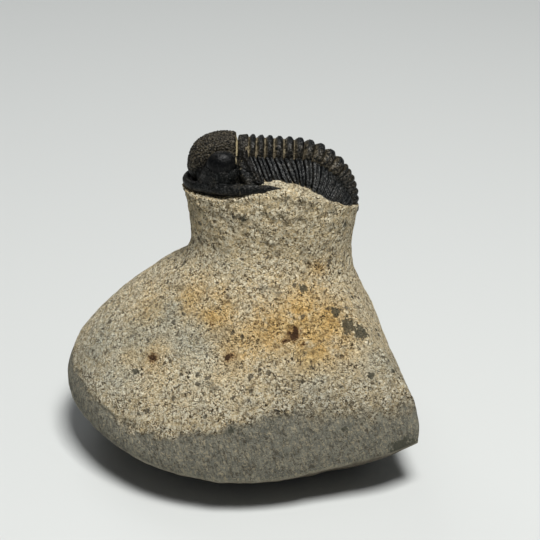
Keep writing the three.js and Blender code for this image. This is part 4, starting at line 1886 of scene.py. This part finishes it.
    @staticmethod
    def dust(piece: bpy.types.Object) -> None:
        """Stores where silt lies on a plate of the head and where its shell is thin.

        Args:
            piece: the plate.
        """
        p = points_of(piece)
        side = np.abs(p[:, 1])
        furrow = bell(p[:, 0] + 0.72, 0.16) * ease(43.4, 44.9, p[:, 2])
        hind = bell(p[:, 0] + 0.1, 0.6) * ease(2.6, 3.4, side) * ease(46.0, 44.6, p[:, 2]) * 0.36
        speck = 0.3 * ease(0.25, 0.6, fractal(p, 1.3, 17, 2))
        paint(piece, "dust", np.clip(0.95 * furrow + hind + speck * 0.4, 0, 1))
        if "wear_and_highlight" not in piece.data.attributes:
            paint(piece, "wear_and_highlight", 0.5 * ease(0.15, 0.7, noise(p, 0.5, 23)))
            paint(piece, "warm", 0.35 * ease(0.1, 0.6, fractal(p, 2.0, 19, 2)))


# ---- Stage ----------------------------------------------------------------------------------

@dataclass(frozen=True)
class Lamp:
    """A square soft light that faces the stone: its place and size in millimetres, power in watts."""

    name: str
    place: tuple[float, float, float]
    size: float
    power: float
    colour: tuple[float, float, float]

    def build(self, aim: Sequence[float]) -> None:
        """Hangs the light.

        Args:
            aim: the point that it faces.
        """
        data = bpy.data.lights.new(self.name, "AREA")
        data.size = self.size * MM
        data.energy = self.power
        data.color = self.colour
        lamp = bpy.data.objects.new(self.name, data)
        lamp.location = Vector(to_metres(self.place))
        facing = Vector(to_metres(aim)) - lamp.location
        lamp.rotation_euler = facing.to_track_quat("-Z", "Y").to_euler()
        bpy.context.scene.collection.objects.link(lamp)


@dataclass
class Studio:
    """A pale floor, a broad soft light overhead and the camera."""

    aim: tuple[float, float, float] = (3.9, 0.0, 25.6)
    distance: float = 240.0
    elevation: float = math.radians(27.0)
    lens: float = 110.4
    sensor: float = 36.0
    floor_reach: float = 3000.0
    floor_tone: Tone = (206, 209, 208)
    floor_roughness: float = 0.7
    softbox: Lamp = Lamp("softbox", (70, -140, 520), 185, 3.5, (1.0, 0.99, 0.97))
    back_light: Lamp = Lamp("back", (-200, 420, 420), 300, 0.45, (0.97, 0.985, 1.0))
    sky_colour: Colour = (0.93, 0.96, 1.0, 1)
    sky_strength: float = 0.1

    def build(self) -> None:
        """Sets the floor, the lights, the sky and the camera."""
        self.floor()
        self.softbox.build(self.aim)
        self.back_light.build(self.aim)
        self.sky()
        self.camera()
        bpy.context.scene.view_settings.view_transform = "Standard"

    def floor(self) -> None:
        """A wide matt floor at the foot's plane."""
        size = self.floor_reach
        corners = [(-size, -size, 0), (size, -size, 0), (size, size, 0), (-size, size, 0)]
        floor = new_mesh("floor", np.array(corners, float), [(0, 1, 2, 3)])
        f = Finish("floor")
        f.set_shader(Base_Color=tone(*self.floor_tone), Roughness=self.floor_roughness)
        floor.data.materials.append(f.material)

    def sky(self) -> None:
        """An even pale sky."""
        world = bpy.data.worlds.new("studio")
        bpy.context.scene.world = world
        world.use_nodes = True
        sky = world.node_tree.nodes["Background"]
        sky.inputs["Color"].default_value = self.sky_colour
        sky.inputs["Strength"].default_value = self.sky_strength

    def camera(self) -> None:
        """The camera, looking slightly down along Y."""
        data = bpy.data.cameras.new("camera")
        data.lens = self.lens
        data.sensor_width = self.sensor
        data.clip_end = 20
        camera = bpy.data.objects.new("camera", data)
        back = np.array([0, -math.cos(self.elevation), math.sin(self.elevation)]) * self.distance
        camera.location = Vector(to_metres(np.array(self.aim) + back))
        camera.rotation_euler = (math.pi / 2 - self.elevation, 0, 0)
        bpy.context.scene.collection.objects.link(camera)
        bpy.context.scene.camera = camera


def write_sizes() -> None:
    """Defines a helper that gives a pair of corners as plain lists; writes nothing."""
    def plain(bounds: Sequence) -> list:
        """A pair of corners as plain lists."""
        return [[float(c) for c in corner] for corner in bounds]


def main() -> None:
    """Builds the specimen and its stage."""
    logging.basicConfig(level=logging.INFO, format="%(message)s")
    Studio().build()
    Pedestal().build()
    HeadShield().build()
    Thorax().build()
    Pygidium().build()
    write_sizes()


if __name__ == "__main__":
    main()
